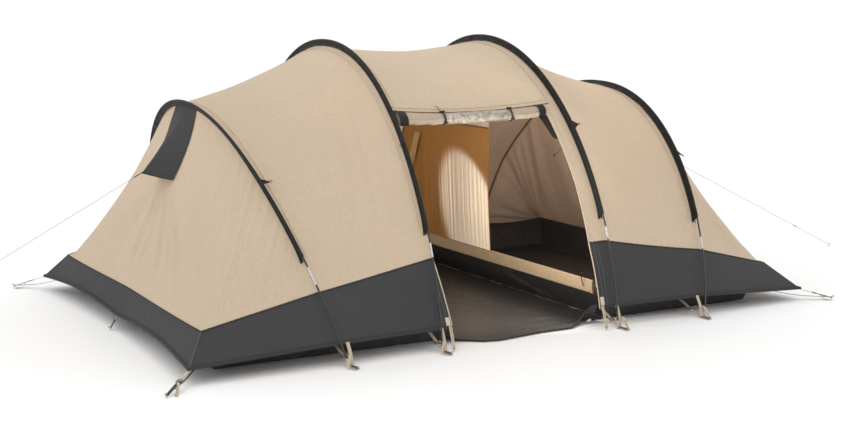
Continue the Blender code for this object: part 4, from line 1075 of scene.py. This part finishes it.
def cabin_arch(k, t):
    here, out = fly_edge(k, t)
    return here - out * cabin_inset(here[..., 2])[..., None], out


def cabin_low_angle(k):
    angles = np.linspace(arch_angle(k, 0.25), arch_angle(k, 0.45), 41)
    return float(np.interp(CABIN_RIM_HEIGHT + 0.016, cabin_arch(k, angles)[0][:, 2], angles))


def cabin_angle(k, v):
    """The angle at a cabin station; stations 1 and 21 are the tops of the tray's side walls."""
    low = cabin_low_angle(k)
    stations = STATIONS[k][MUD_STATION:BACK_MUD_STATION + 1]
    return np.interp(v, range(1, 22), [low] + stations + [math.pi - low])


def make_cabin_canopy():
    v = np.linspace(1, 21, 170)
    u = np.linspace(0, 1, 44)
    front, front_out = cabin_arch(2, cabin_angle(2, v))
    front = np.stack([cabin_front_x(front[:, 2]) + 0.002, front[:, 1], front[:, 2]], axis=-1)
    back, back_out = cabin_arch(3, cabin_angle(3, v))
    points = mix(front[:, None], back[:, None], u[None, :, None])
    out = unit(mix(front_out[:, None], back_out[:, None], u[None, :, None]))
    slack = 4 * u * (1 - u)
    around = cut_of(points)[..., 1]
    hang = 0.030 * slack + 0.010 * slack ** 0.6 * waves(u[None, :] / 0.55, around / 0.9, 161)
    hang = hang + 0.006 * slack ** 0.5 * ripples(u[None, :] / 0.16 + 0.15 * around, 162)
    points = points - out * (hang + 0.004)[..., None]
    make_sheet("cabin_roof_cloth", ["cabin_canopy"], points, "cabin")
    for name, column, side, radius in (("rear", -1, -1, 0.0095), ("front", 1, 0, 0.0060)):
        shape = Shape()
        add_tube(shape, points[:, column] - out[:, side] * 0.006, radius, "brown_seam")
        shape.make("cabin_%s_seam" % name)


def make_cabin_end():
    v = np.linspace(1, 21, 210)
    t = cabin_angle(3, v)
    top, top_out = cabin_arch(3, t)
    shoulder = STATIONS[3][SHOULDER_STATION]
    share = np.clip((t - shoulder) / (math.pi - 2 * shoulder), 0.0, 1.0)
    foot_y = mix(-CABIN_RIM_HALF_WIDTH, CABIN_RIM_HALF_WIDTH, share)
    foot = np.stack([np.full_like(share, CABIN_RIM_X[1]), foot_y, np.full_like(share, CABIN_RIM_HEIGHT)], axis=-1)
    s = np.linspace(0, 1, 46)
    points = mix(foot[:, None], top[:, None], s[None, :, None])
    out = unit(mix(corner_out(1, share)[:, None], top_out[:, None], s[None, :, None]))
    slack = np.minimum(np.linalg.norm(top - foot, axis=-1), 1.0)[:, None]
    points = soften(points - out * (CABIN_SAG * slack * 4 * s * (1 - s))[..., None], 40)
    loose = (4 * s * (1 - s)) ** 0.5 * slack
    folds = 0.026 * ripples(v[:, None] / 2.6 + 0.35 * s, 171) + 0.016 * ripples(v[:, None] / 0.9 - 0.3 * s, 172)
    folds = folds + 0.0035 * ripples(v[:, None] / 0.28 - 0.8 * s, 173)
    points = points - out * (loose * (0.020 + folds) + 0.003)[..., None]
    make_sheet("cabin_end_cloth", ["cabin_end_wall"], points, "cabin")


def panel_top():
    """Heights of the fly over the cabin's front, as y and z from the back to the front."""
    v = np.linspace(LAST_STATION - 1.2, 1.2, 160)
    edge, _ = bay_point(1, np.ones_like(v), v)
    share = (cabin_front_x(edge[:, 2]) - CLOTH - edge[:, 0]) / -1.4
    here, out = bay_point(1, 1.0 - share, v)
    here = here - out * (0.0075 + cabin_inset(here[:, 2]) - CABIN_INSET)[:, None]
    return here[:, 1], here[:, 2]


def make_cabin_front():
    """The closed half of the cabin's front, pleated, under a header of the roof's cloth."""
    ys, zs = panel_top()
    bottom = THRESHOLD_HEIGHTS[1] + 0.001
    side_y = float(np.interp(bottom, zs[:40], ys[:40]))
    columns = np.linspace(side_y - 0.004, PANEL_EDGE, 240)
    top = np.interp(-columns, -ys, zs)
    shape = Shape()
    zip_z = np.minimum(ZIP_HEIGHT, top - 0.002)
    s = np.linspace(0, 1, 90)[:, None]
    z = mix(bottom, zip_z[None], s)
    pulled = 1 - np.clip((columns - PANEL_EDGE) / PANEL_HEM_REACH, 0, 1)
    y = np.broadcast_to(columns, z.shape) + 0.028 * (1 - s) * pulled
    freedom = np.sin(math.pi * np.clip(s * 0.9 + 0.08, 0, 1)) ** 0.6
    pleats = 0.0050 * ripples(y / 0.085, 181) + 0.0032 * ripples(y / 0.030, 182)
    broad = 0.014 * ripples(y / 0.42 + 0.2 * s, 183)
    hollow = freedom * (pleats * (0.5 + 0.5 * (1 - s)) + broad)
    depth = 0.012 + 0.8 * np.maximum(hollow, -0.012)
    points = np.stack([cabin_front_x(z) - CLOTH - depth * freedom, y, z], axis=-1)
    # The ochre here is painted shade and warm light on the pale panel cloth.
    add_grid(shape, points, "ochre")
    area = area_of(points)
    s = np.linspace(0, 1, 30)[:, None]
    z = mix(zip_z[None], top[None], s)
    head_x = cabin_front_x(z) - CLOTH - 0.001 - 0.006 * s * (1 - s)
    head = np.stack([head_x, np.broadcast_to(columns, z.shape), z], axis=-1)
    add_grid(shape, head, "cabin")
    area += area_of(head)
    keep = (ys < PANEL_EDGE) & (zs > CABIN_HEADER_HEIGHT)
    over_y = np.concatenate([[PANEL_EDGE], ys[keep]])
    over_z = np.concatenate([[float(np.interp(-PANEL_EDGE, -ys, zs))], zs[keep]])
    z = mix(np.full_like(over_z, CABIN_HEADER_HEIGHT)[None], over_z[None], np.linspace(0, 1, 10)[:, None])
    over = np.stack([cabin_front_x(z) - CLOTH, np.broadcast_to(over_y, z.shape), z], axis=-1)
    add_grid(shape, over, "cabin")
    area += area_of(over)
    made = shape.make("cabin_door_cloth", ["cabin_front_wall"])
    shape = Shape()
    path = points[-1, 4:]
    add_tube(shape, path - vec(0.004, 0, 0), 0.0055, "brown_seam", sides=8)
    edge = points[:, -1]
    add_tube(shape, edge - vec(0.001, 0, 0), 0.0030, "ochre", sides=8)
    shape.make("cabin_door_zip")
    shape = Shape()
    s = np.linspace(0, 1, 40)[:, None]
    across = np.linspace(-0.5, 0.5, 9)[None]
    z = mix(*STRIP_HEIGHTS, s) + 0 * across
    y = mix(*STRIP_Y, s) + across * STRIP_WIDTH
    x = cabin_front_x(z) - CLOTH - 0.030 + 0.004 * np.abs(across)
    add_grid(shape, np.stack([x, y, z], axis=-1), "pale_ochre")
    made = shape.make("cabin_door_strip")


def make_threshold():
    """The padded band along the top of the tray's front wall."""
    low, high = THRESHOLD_HEIGHTS
    half = CABIN_RIM_HALF_WIDTH - 0.055
    y = np.linspace(-half, half, 260)[None]
    turn = np.linspace(0, 2 * math.pi, 25)[:, None]
    swell = 1 + 0.10 * ripples(y / 0.11, 191) + 0.05 * ripples(y / 0.04, 192)
    middle = (low + high) / 2 + 0.001
    z = middle + 0.049 * np.sin(turn) * np.ones_like(y)
    thick = 0.0065 * np.cos(turn) * swell
    pucker = 0.0016 * waves(y / 0.05, turn / 0.9, 193) * np.abs(np.cos(turn))
    x = cabin_front_x(z) + 0.0095 - CLOTH / 2 - thick - pucker
    points = np.stack([x, y * np.ones_like(turn), z], axis=-1)
    make_sheet("threshold_band", ["cabin_threshold"], points, "tape")
    shape = Shape()
    start = vec(cabin_front_x(0.27) - 0.014, -1.405, 0.245)
    path = [start, start + vec(-0.012, 0.004, 0.045), start + vec(-0.020, -0.004, 0.090),
            start + vec(-0.010, -0.030, 0.110)]
    add_tube(shape, curve_through(path, 20), 0.0035, "elastic", sides=8)
    add_tube(shape, [path[2] + vec(0, 0.012, -0.004), path[2] + vec(0, -0.010, 0.008)], (0.007, 0.006), "plastic")
    shape.make("threshold_hook")


# The rolled-up door under the doorway's top edge
def lintel_frame(u):
    u = np.asarray(u, float)
    here, out = bay_point(1, u, SHOULDER_STATION)
    above, _ = bay_point(1, u, SHOULDER_STATION + 1)
    return here - out * CLOTH / 2, unit(here - above), out


DOOR_LEFT_SHARE = float(door_share(SHOULDER_STATION, DOOR_LEFT_X)) - 0.005
DOOR_RIGHT_SHARE = float(door_share(SHOULDER_STATION, DOOR_RIGHT_X)) - 0.004
ROLL_KEYS = (DOOR_LEFT_SHARE,) + ROLL_SHARES[1:-1] + (DOOR_RIGHT_SHARE,)


def roll_centre(u):
    rim, down, out = lintel_frame(u)
    high = np.interp(u, ROLL_KEYS, ROLL_HALF_HEIGHT)
    drop = np.maximum(high, ROLL_HALF_HEIGHT[2] + FILM) * math.cos(math.pi / 8) + 0.001
    return rim + down * drop[..., None], down, out, high


def rolled(u, turns, extra, seed, inner=0.22):
    """A sheet rolled up round the doorway's top: rows run along it, columns round it."""
    centre, down, out, high = roll_centre(u)
    wind = np.linspace(0, 1, int(turns * 26) + 1)
    angle = 2 * math.pi * turns * wind + 0.8
    grow = mix(inner, 1.0, wind)[:, None]
    lump = 1 + (0.07 * waves(u[None] / 0.09, angle[:, None] / 3.0, seed)
                + 0.03 * waves(u[None] / 0.035, angle[:, None] / 2.0, seed + 1)) * grow
    tall = (high[None] * 0.95 + extra) * grow * lump
    thick = (ROLL_HALF_DEPTH * 0.95 + extra) * grow * lump
    return (centre[None] + down[None] * (np.cos(angle)[:, None] * tall)[..., None]
            + out[None] * (np.sin(angle)[:, None] * thick)[..., None])


def make_door_roll():
    u = np.linspace(DOOR_LEFT_SHARE + 0.002, DOOR_RIGHT_SHARE - 0.002, 110)
    # The roll's cloth is darkened with painted shade.
    make_sheet("rolled_door", ["door_roll"], rolled(u, 7.0, 0.0, 201), "roll")
    u = np.linspace(ROLL_SHARES[2] - 0.004, ROLL_SHARES[4] + 0.004, 90)
    make_sheet("rolled_window", ["window_roll"], rolled(u, 1.1, 0.0045, 203, inner=0.93), "film")
    for side, share in (("left", ROLL_SHARES[1]), ("right", ROLL_SHARES[5])):
        make_tie(side, share)


def ring_at(u, grow, count=40, first=0.0, last=2 * math.pi):
    centre, down, out, high = roll_centre(np.array([u]))
    turn = np.linspace(first, last, count)[:, None]
    return (centre + down * np.cos(turn) * (high[0] * 0.97 + grow)
            + out * np.sin(turn) * (ROLL_HALF_DEPTH * 0.97 + grow))


def make_tie(side, share):
    """An elastic loop round the roll, closed by a toggle at the top of its front."""
    shape = Shape()
    add_tube(shape, ring_at(share, 0.0035), 0.0030, "elastic", sides=8, closed=False)
    add_tube(shape, ring_at(share + 0.006, 0.0035), 0.0024, "elastic", sides=8, closed=False)
    _, down, out, _ = roll_centre(np.array([share]))
    along = unit(np.cross(down[0], out[0]))
    top = ring_at(share + 0.003, 0.010, 3, 2.1, 2.3)[1]
    barrel = [top + along * s for s in (-0.020, -0.017, -0.004, 0.004, 0.017, 0.020)]
    add_tube(shape, barrel, (0.004, 0.0075, 0.0055, 0.0055, 0.0075, 0.004), "plastic", sides=14)
    low = ring_at(share + 0.003, 0.008, 3, 0.05, 0.35)[1]
    add_tube(shape, [low - along * 0.018, low - along * 0.006, low + along * 0.012], (0.004, 0.009, 0.006), "plastic")
    if side == "left":
        start = ring_at(share, 0.006, 3, 2.6, 2.8)[1]
        path = [start, start - down[0] * 0.03 + out[0] * 0.006,
                start - down[0] * 0.055 + along * 0.006 + out[0] * 0.004,
                start - down[0] * 0.062 + along * 0.016 + out[0] * 0.004]
        add_tube(shape, curve_through(path, 16), 0.0022, "elastic", sides=8)
    shape.make("roll_tie_%s" % side, ["roll_toggle_%s" % side])


# Straps and pegs
def rim_outer(x, z):
    if x < CABIN_FLOOR_X[0]:
        return FLOOR_HALF_WIDTH + RIM_SPREAD * z / RIM_HEIGHT
    return FLOOR_HALF_WIDTH + (CABIN_RIM_HALF_WIDTH - FLOOR_HALF_WIDTH) * z / CABIN_RIM_HEIGHT


def add_buckle(shape, place, along, side):
    """A ladder buckle that a strap threads through: two rails and three bars."""
    up = unit(np.cross(side, along))
    place = place + up * 0.001
    for s in (-0.015, 0.0, 0.015):
        add_tube(shape, [place + along * s - side * 0.016, place + along * s + side * 0.016], 0.0023, "plastic", 8)
    for w in (-0.016, 0.016):
        add_tube(shape, [place + side * w - along * 0.017, place + side * w + along * 0.017], 0.0026, "plastic", 8)


def add_anchor(shape, start, peg_foot, side, buckle=0.45, tail=0.10, turn=1.0):
    """Tape from the hem to a buckle, a loop of elastic on to the peg, and a loose tail."""
    way = unit(peg_foot - vec(start[0], start[1], 0))
    end = peg_foot + vec(0, 0, 0.010) - way * 0.006
    middle = mix(start, end, buckle)
    along = unit(end - start)
    add_strap(shape, [mix(start, middle, s) for s in np.linspace(0, 1, 8)], side, WEBBING_WIDTH, 0.0022, "webbing")
    under = vec(0, 0, 0.0024)
    add_strap(shape, [mix(middle, end, s) - under * math.sin(math.pi * s) for s in np.linspace(0, 0.97, 10)], side,
              WEBBING_WIDTH * 0.9, 0.0020, "webbing")
    add_strap(shape, [mix(middle, end, s) + under * math.sin(math.pi * s) for s in np.linspace(0, 0.97, 10)], side,
              WEBBING_WIDTH * 0.9, 0.0020, "dark_webbing")
    add_buckle(shape, middle, along, side)
    if tail:
        fall = vec(0, 0, 1) * max(middle[2] - 0.004, 0)
        path = [middle + along * 0.01, middle + along * 0.03 + side * 0.010 * turn + vec(0, 0, 0.004),
                middle + along * (0.03 + tail * 0.45) + side * 0.030 * turn - fall * 0.75,
                middle + along * (0.03 + tail * 0.75) + side * 0.045 * turn - fall]
        path[-1][2] = max(path[-1][2], 0.004)
        path[-2][2] = max(path[-2][2], 0.005)
        add_strap(shape, curve_through(path, 18), side + vec(0, 0, 0.25), WEBBING_WIDTH * 0.9, 0.0018, "webbing")
    add_peg(shape, peg_foot - way * 0.010, way)


def make_foot_strap(k, back):
    """Tape from the groundsheet past the pole's foot to its peg, and from the hem to the pole's pin."""
    way = 1 if back else -1
    name = "foot_strap_%d_%s" % (k + 1, "back" if back else "front")
    aside = TIP_RADIUS + WEBBING_WIDTH / 2 + 0.0008
    x = ARCH_X[k] - aside if k == 3 else ARCH_X[k] + aside
    foot_y = ARCH_HALF_WIDTH[k]
    side = vec(1, 0, 0)
    start = vec(x, way * (rim_outer(x, 0.10) + 0.002), 0.10)
    middle = vec(x, way * (foot_y - 0.01), 0.0060)
    end = vec(x, way * (foot_y + PEG_REACH - 0.004), 0.0080)
    path = [start, mix(start, middle, 0.35), mix(start, middle, 0.8), middle, mix(middle, end, 0.5), end]
    path[2] = path[2] - vec(0, 0, 0.003)
    shape = Shape()
    add_strap(shape, curve_through(path, 34), side, WEBBING_WIDTH, 0.0022, "webbing")
    loop = [mix(middle, end, s) + vec(0, 0, 0.003 + 0.004 * math.sin(math.pi * s)) for s in np.linspace(0.1, 1, 12)]
    add_strap(shape, loop, side, WEBBING_WIDTH * 0.8, 0.0022, "dark_webbing")
    add_buckle(shape, mix(start, middle, 0.55), unit(middle - start), side)
    bay = min(k, 2)
    share = (x - ARCH_X[bay]) / (ARCH_X[bay + 1] - ARCH_X[bay])
    hem, out = bay_point(bay, np.array(share), np.array(float(LAST_STATION if back else 0)))
    top = vec(x, hem[1], hem[2] + 0.012) + out * 0.003
    join = vec(x, way * foot_y, 0.010)
    belly = mix(top, join, 0.5) + vec(0, way * 0.010, 0)
    add_strap(shape, curve_through([top, belly, join], 16), side, WEBBING_WIDTH, 0.0022, "webbing")
    lean = 0.030 if k in (0, 1) else -0.030
    tail = [mix(start, middle, 0.55) + vec(0, way * 0.004, 0.004), belly + vec(-lean * 0.6, way * 0.030, -0.010),
            vec(x - lean * 1.3, way * (foot_y + 0.030), 0.012), vec(x - lean * 0.4, way * (foot_y + 0.085), 0.004)]
    add_strap(shape, curve_through(tail, 26), side + vec(0, 0.35 * way, 0.1), WEBBING_WIDTH * 0.8, 0.0018, "webbing")
    turns = np.linspace(0, 2 * math.pi, 22)
    ring = [join + vec(0.011 * math.cos(a), 0.011 * math.sin(a), 0.002) for a in turns]
    add_tube(shape, ring, 0.0018, "steel", 8, closed=False)
    add_tube(shape, [join + vec(0, 0, 0.002), vec(ARCH_X[k], way * foot_y, 0.014)], 0.0020, "steel", 8)
    add_peg(shape, vec(x, way * (foot_y + PEG_REACH - 0.010), 0), vec(0, way, 0))
    shape.make(name + "_tape", [name])


def make_anchors():
    for k in range(4):
        make_foot_strap(k, False)
        make_foot_strap(k, True)
    for end, end_name in ((0, "left"), (1, "right")):
        k = end_arch(end)
        for back in (False, True):
            way = 1 if back else -1
            corner = end_outline(end, angle_at(k, corner_station(back)))
            peg_foot = vec(CORNER_PEG_X[end], way * CORNER_PEG_Y[end], 0)
            side = unit(np.cross(unit(peg_foot - corner), vec(0, 0, 1)))
            name = "corner_strap_%s_%s" % (end_name, "back" if back else "front")
            shape = Shape()
            add_anchor(shape, corner, peg_foot, side, 0.42, 0.13, -1.0 if end == 0 else 1.0)
            tray_corner = vec(*((FLOOR_LEFT_X - 0.12, way * 1.58) if end == 0 else (2.10, way * 1.53)), 0.11)
            low = peg_foot + vec(0, 0, 0.016)
            belly = mix(tray_corner, low, 0.55) - vec(0, 0, 0.020)
            add_strap(shape, curve_through([tray_corner, belly, low], 20), side, 0.014, 0.0022, "dark_webbing")
            shape.make(name + "_tape", [name])
        out = -1 if end == 0 else 1
        hem = end_outline(end, math.pi / 2)
        shape = Shape()
        add_anchor(shape, hem, vec(hem[0] + out * 0.06, 0, 0), vec(0, 1, 0), 0.30, 0.0)
        shape.make("end_strap_%s_tape" % end_name, ["end_strap_%s" % end_name])
    for name, edge, inset in (("door_strap_left", DOOR_LEFT_X, -0.014), ("door_strap_right", DOOR_RIGHT_X, 0.014)):
        u = door_share(np.array(0.0), edge) + inset
        hem, out = bay_point(1, u, np.array(0.0))
        peg_foot = vec(hem[0], hem[1] - 0.06, 0)
        top = hem + vec(0, 0, 0.020) + out * 0.002
        low = peg_foot + vec(0, 0.004, 0.012)
        shape = Shape()
        for shift, belly in ((-0.005, 0.006), (0.007, -0.004)):
            path = [top + vec(shift, 0, 0), mix(top, low, 0.5) + vec(shift * 1.5, -belly, 0), low + vec(shift, 0, 0)]
            add_strap(shape, curve_through(path, 16), vec(1, 0, 0), 0.011, 0.0022, "webbing")
        add_peg(shape, peg_foot + vec(0, 0.010, 0), vec(0, -1, 0))
        shape.make(name + "_tape", [name])


# Seams, bindings and tabs
SEAM_WIDTH = 0.010
HEM_WIDTH = 0.022
HEM_LIFT = vec(0, 0, 0.010)
ARCH_SEAM_SHARES = (0.045, 0.955)


def trim(name, strips):
    """One piece of sewn-on strips. strips: points, normals, width, rise and look."""
    shape = Shape()
    for points, normals, width, rise, look in strips:
        add_band(shape, points, normals, width, rise, look)
    shape.make(name)


def bay_line(bay, u, v, lift=0.0025):
    points, out = bay_point(bay, u, v)
    return points + out * lift, out


def level_strips(stations, lift, shift, width, rise):
    """Strips along the three bays at a front and a back station, left out across the doorway."""
    strips = []
    for bay in range(3):
        for back, station in enumerate(stations):
            v = np.full(120, float(station))
            spans = [(0.0, 1.0)]
            if bay == 1 and not back:
                spans = [(0.0, float(left_door_share(v[:1])[0])), (float(right_door_share(v[:1])[0]), 1.0)]
            for first, last in spans:
                points, out = bay_line(bay, np.linspace(first, last, 120), v, lift)
                strips.append((points + shift, out, width, rise, "mudwall_seam"))
    return strips


def make_seams():
    strips = level_strips((MUD_STATION, BACK_MUD_STATION), 0.0025, 0.0, SEAM_WIDTH, 0.0014)
    for end in (0, 1):
        points, out = mud_seam(end, np.linspace(MUD_STATION, BACK_MUD_STATION, 260))
        strips.append((points + out * 0.0025, out, SEAM_WIDTH, 0.0014, "mudwall_seam"))
    trim("mudwall_top_seam", strips)
    strips = level_strips((0, LAST_STATION), 0.002, HEM_LIFT, HEM_WIDTH, 0.0018)
    for end in (0, 1):
        k = end_arch(end)
        v = np.linspace(SHOULDER_STATION, BACK_SHOULDER_STATION, 200)
        out = corner_out(end, crown_share(v))
        foot = end_outline(end, angle_at(k, v))
        strips.append((foot + HEM_LIFT + out * 0.002, out, HEM_WIDTH, 0.0018, "mudwall_seam"))
        for back in (False, True):
            corner = end_outline(end, angle_at(k, corner_station(back)))
            hem, hem_out = bay_point(2 * end, np.array(float(end)), np.array(float(LAST_STATION if back else 0)))
            seam, seam_out = mud_seam(end, np.array(corner_station(back)))
            s = np.linspace(0, 1, 40)[:, None]
            out = unit(mix(corner_out(end, float(back)), hem_out, s))
            strips.append((mix(corner, hem, s) + HEM_LIFT + out * 0.002, out, HEM_WIDTH, 0.0018, "mudwall_seam"))
            out = unit(mix(corner_out(end, float(back)), seam_out, s))
            # Corner seams in a lighter colour: painted sheen.
            strips.append((mix(corner, seam, s) + out * 0.002, out, 0.012, 0.0016, "mudwall_light"))
    trim("mudwall_hem", strips)
    strips = []
    for bay in range(3):
        for u in ARCH_SEAM_SHARES:
            first = SHOULDER_STATION if bay == 1 else SLEEVE_STATION
            v = np.linspace(first, BACK_SLEEVE_STATION, 220)
            points, out = bay_line(bay, np.full(220, u), v, 0.003)
            strips.append((points, out, SEAM_WIDTH, 0.0012, "sand_seam"))
    trim("arch_seams", strips)


def make_jambs():
    """The doorway's bound edges: beige piping low down, a folded hem higher up, and its squares of tape."""
    for side, share in (("left", left_door_share), ("right", right_door_share)):
        shape = Shape()
        away = -1.0 if side == "left" else 1.0
        v = np.linspace(0, MUD_STATION, 40)
        points, out = bay_point(1, share(v), v)
        add_tube(shape, points + out * 0.001, 0.0042, "piping", 8)
        v = np.linspace(MUD_STATION, SHOULDER_STATION, 90)
        points, out = bay_point(1, share(v), v)
        add_tube(shape, points + out * 0.001, 0.0030, "sand_seam", 8)
        if side == "right":
            inner, inner_out = bay_point(1, share(v) + away * 0.022, v)
            add_band(shape, inner + inner_out * 0.003, inner_out, 0.006, 0.0012, "sand_seam")
        v = np.array([0.10, 0.36])
        middle, out = bay_point(1, share(v) + away * 0.018, v)
        square = np.linspace(0, 1, 6)[:, None]
        add_strap(shape, mix(middle[0], middle[1], square) + out[0] * 0.004, vec(1, 0, 0), 0.032, 0.003, "piping")
        for offset in (0.024, 0.045):
            v = np.linspace(0.05, 1.10 if side == "left" else MUD_STATION - 0.05, 30)
            points, out = bay_point(1, share(v) + away * offset, v)
            # Strips beside the doorway in a lighter colour: painted sheen.
            add_band(shape, points + out * 0.003, out, 0.007, 0.0014, "mudwall_light")
        shape.make("door_jamb_%s" % side)


def make_lintel():
    """The seam over the doorway, and the dark bands that hold the roll's two ends."""
    left, right = DOOR_LEFT_SHARE - 0.010, DOOR_RIGHT_SHARE + 0.045
    shape = Shape()
    for v, width in ((SHOULDER_STATION + 0.03, 0.009), (SHOULDER_STATION + 0.16, 0.006)):
        u = np.linspace(left, right, 120)
        points, out = bay_line(1, u, np.full(120, v), 0.003)
        add_band(shape, points, out, width, 0.0014, "brown_seam" if width > 0.008 else "sand_seam")
    shape.make("lintel_seam")
    shape = Shape()
    for first, last in ((DOOR_LEFT_SHARE + 0.006, DOOR_LEFT_SHARE + 0.058),
                        (DOOR_RIGHT_SHARE - 0.050, DOOR_RIGHT_SHARE - 0.012)):
        u = np.linspace(first, last, 12)
        centre, down, out, high = roll_centre(u)
        turn = np.linspace(-0.3, math.pi + 0.5, 30)[:, None]
        rings = (centre[None] + down[None] * (np.cos(turn) * (high[None] + 0.004))[..., None]
                 + out[None] * (np.sin(turn) * (ROLL_HALF_DEPTH + 0.005))[..., None])
        add_grid(shape, rings, "sleeve")
    made = shape.make("roll_end_bands")
    # The flap's brown-black colour is painted shade on the jamb's inner side.
    v = np.linspace(SHOULDER_STATION - 0.05, SHOULDER_STATION - 1.35, 30)
    widths = np.interp(v, SHOULDER_STATION - np.array([1.35, 1.25, 0.5, 0.05]), (0.006, 0.022, 0.040, 0.055))
    edge, out = bay_point(1, right_door_share(v) + 0.002, v)
    inner, _ = bay_point(1, right_door_share(v) - widths, v)
    across = np.linspace(0, 1, 8)[None, :, None]
    flap = mix(edge[:, None], inner[:, None], across) - out[:, None] * 0.012 * across
    make_sheet("jamb_flap", (), flap, "dark_flap")


# Guy line tabs on the sleeves: pole, height, length, base, drop and side
GUY_TABS = ((0, 1.140, 0.050, 0.050, 0.030, 1), (1, 1.340, 0.022, 0.040, 0.010, -1), (2, 1.400, 0.050, 0.080, 0.0, 1),
            (3, 1.140, 0.050, 0.050, 0.030, 1))


def make_tab(name, k, height, length, base, drop, way):
    """A small tab sewn to a sleeve for a guy line."""
    t = arch_angle(k, height)
    here, along, across, out = ridge_frame(k, np.array(t))
    low = here + along * -base / 2 + across * way * 0.006
    high = here + along * base / 2 + across * way * 0.006
    tip = here + across * way * length - along * drop + out * 0.004
    s = np.linspace(0, 1, 10)[:, None, None]
    w = np.linspace(0, 1, 8)[None, :, None]
    sheet = mix(mix(low, high, w), mix(tip - along * 0.004, tip + along * 0.004, w), s)
    shape = Shape()
    add_grid(shape, sheet, "sleeve")
    add_grid(shape, sheet - out * 0.0025, "sleeve")
    turns = np.linspace(0, 2 * math.pi, 18)
    ring = [tip + across * way * (0.008 + 0.009 * math.cos(a)) + along * 0.009 * math.sin(a) for a in turns]
    add_tube(shape, ring, 0.0020, "elastic", 8, closed=False)
    shape.make(name)


def make_tabs():
    for number, (k, height, length, base, drop, way) in enumerate(GUY_TABS):
        make_tab("guy_tab_%d" % (number + 1), k, height, length, base, drop, way)


def make_cabin_fittings():
    """The toggle and cord that tie the cabin's door back, and a loop at the groundsheet's front."""
    shape = Shape()
    v = 5.32
    start, out = bay_point(1, right_door_share(np.array(v)), np.array(v))
    knob = start + vec(-0.055, 0.020, -0.060)
    add_tube(shape, curve_through([start - out * 0.006, mix(start, knob, 0.5) - vec(0, 0, 0.006), knob], 12), 0.0022,
             "elastic", 8)
    half = vec(0.003, 0, 0.009)
    add_tube(shape, [knob + half, knob, knob - half], (0.004, 0.008, 0.004), "plastic", 12)
    shape.make("cabin_hook")
    shape = Shape()
    start = vec(0.560, -1.600, 0.030)
    turns = np.linspace(0, math.pi, 14)
    loop = [start + vec(0.010 * math.cos(a), -0.030 * math.sin(a), 0.004 + 0.016 * math.sin(a)) for a in turns]
    add_strap(shape, loop, vec(0, 0.3, 1), 0.010, 0.002, "piping")
    shape.make("groundsheet_loop")


# Floor and light
def make_floor():
    mesh = bpy.data.meshes.new("floor")
    size = 60.0
    mesh.from_pydata([(-size, -size, 0), (size, -size, 0), (size, size, 0), (-size, size, 0)], [], [(0, 1, 2, 3)])
    floor = bpy.data.objects.new("floor", mesh)
    floor.location = (0, 0, -0.001)
    made, tree, shader = new_material("studio_floor")
    body = position(tree)
    base = ramp(tree, noise_on(tree, body, 0.5, 2.0), ((0.3, (0.975, 0.975, 0.975)), (0.7, (0.985, 0.985, 0.985))))
    tree.links.new(base, shader.inputs["Base Color"])
    set_shader(shader, Roughness=0.9)
    mesh.materials.append(made)
    bpy.context.scene.collection.objects.link(floor)


def add_light(kind, name, place, aim, energy, colour, **settings):
    light = bpy.data.lights.new(name, kind)
    light.energy = energy
    light.color = colour
    for key, value in settings.items():
        setattr(light, key, value)
    holder = bpy.data.objects.new(name, light)
    holder.location = place
    holder.rotation_mode = "QUATERNION"
    holder.rotation_quaternion = (Vector(aim) - Vector(place)).to_track_quat("-Z", "Y")
    holder.visible_camera = False
    bpy.context.scene.collection.objects.link(holder)
    return holder


SUN_WIDTH = 0.36
SUN_LEAN = math.radians(15)
WARM_WHITE = (1.0, 0.96, 0.91)


def make_lights():
    world = bpy.data.worlds.new("studio")
    world.use_nodes = True
    background = world.node_tree.nodes["Background"]
    background.inputs["Color"].default_value = (1.0, 1.0, 1.0, 1.0)
    background.inputs["Strength"].default_value = 1.06
    bpy.context.scene.world = world
    bpy.context.scene.view_settings.view_transform = "Standard"
    add_light("AREA", "key", (-7.0, -8.0, 7.0), (0, 0, 0.8), 75.0, (1.0, 0.97, 0.93), size=6.0)
    add_light("AREA", "into the doorway", (-0.15, -1.52, 0.75), (0.60, 0.20, 0.60), 14.0, (1.0, 0.98, 0.96), size=0.6)
    # Stands in for a patch of sun on the cabin's front wall alone. It isn't the colour of sunlight:
    # the blue cancels the ochre painted into the cloth as shade and warm light, so that the patch comes out as pale
    # as in the photo.
    sun = add_light("SPOT", "sun", (-0.30, -1.50, 0.92), (0.66, 0.20, 0.52), 1550.0, (0.24, 0.43, 1.0),
                    spot_size=math.radians(34), spot_blend=0.30, shadow_soft_size=0.02)
    sun.scale = (SUN_WIDTH, 1.0, 1.0)
    sun.rotation_quaternion = sun.rotation_quaternion @ Quaternion((0, 0, 1), SUN_LEAN)
    lit = bpy.data.collections.new("lit by the sun")
    lit.objects.link(bpy.data.objects["cabin_door_cloth"])
    sun.light_linking.receiver_collection = lit
    add_light("POINT", "living area", (-0.55, 0.9, 1.0), (0, 0, 0), 6.0, (1.0, 0.95, 0.88), shadow_soft_size=0.35)
    add_light("POINT", "cabin", (1.20, -0.30, 1.20), (0, 0, 0), 16.0, WARM_WHITE, shadow_soft_size=0.25)


make_camera()
for k in range(4):
    make_pole(k)
    make_sleeve(k)
for bay, side in enumerate(("left", "middle", "right")):
    make_bay(bay, side)
for end, side in ((0, "left"), (1, "right")):
    make_hood(end, side, make_end(end, side))
make_mudwalls()
make_groundsheet()
make_cabin_tray()
make_cabin_canopy()
make_cabin_end()
make_cabin_front()
make_threshold()
make_door_roll()
make_anchors()
make_seams()
make_jambs()
make_lintel()
make_tabs()
make_cabin_fittings()
make_floor()
make_lights()
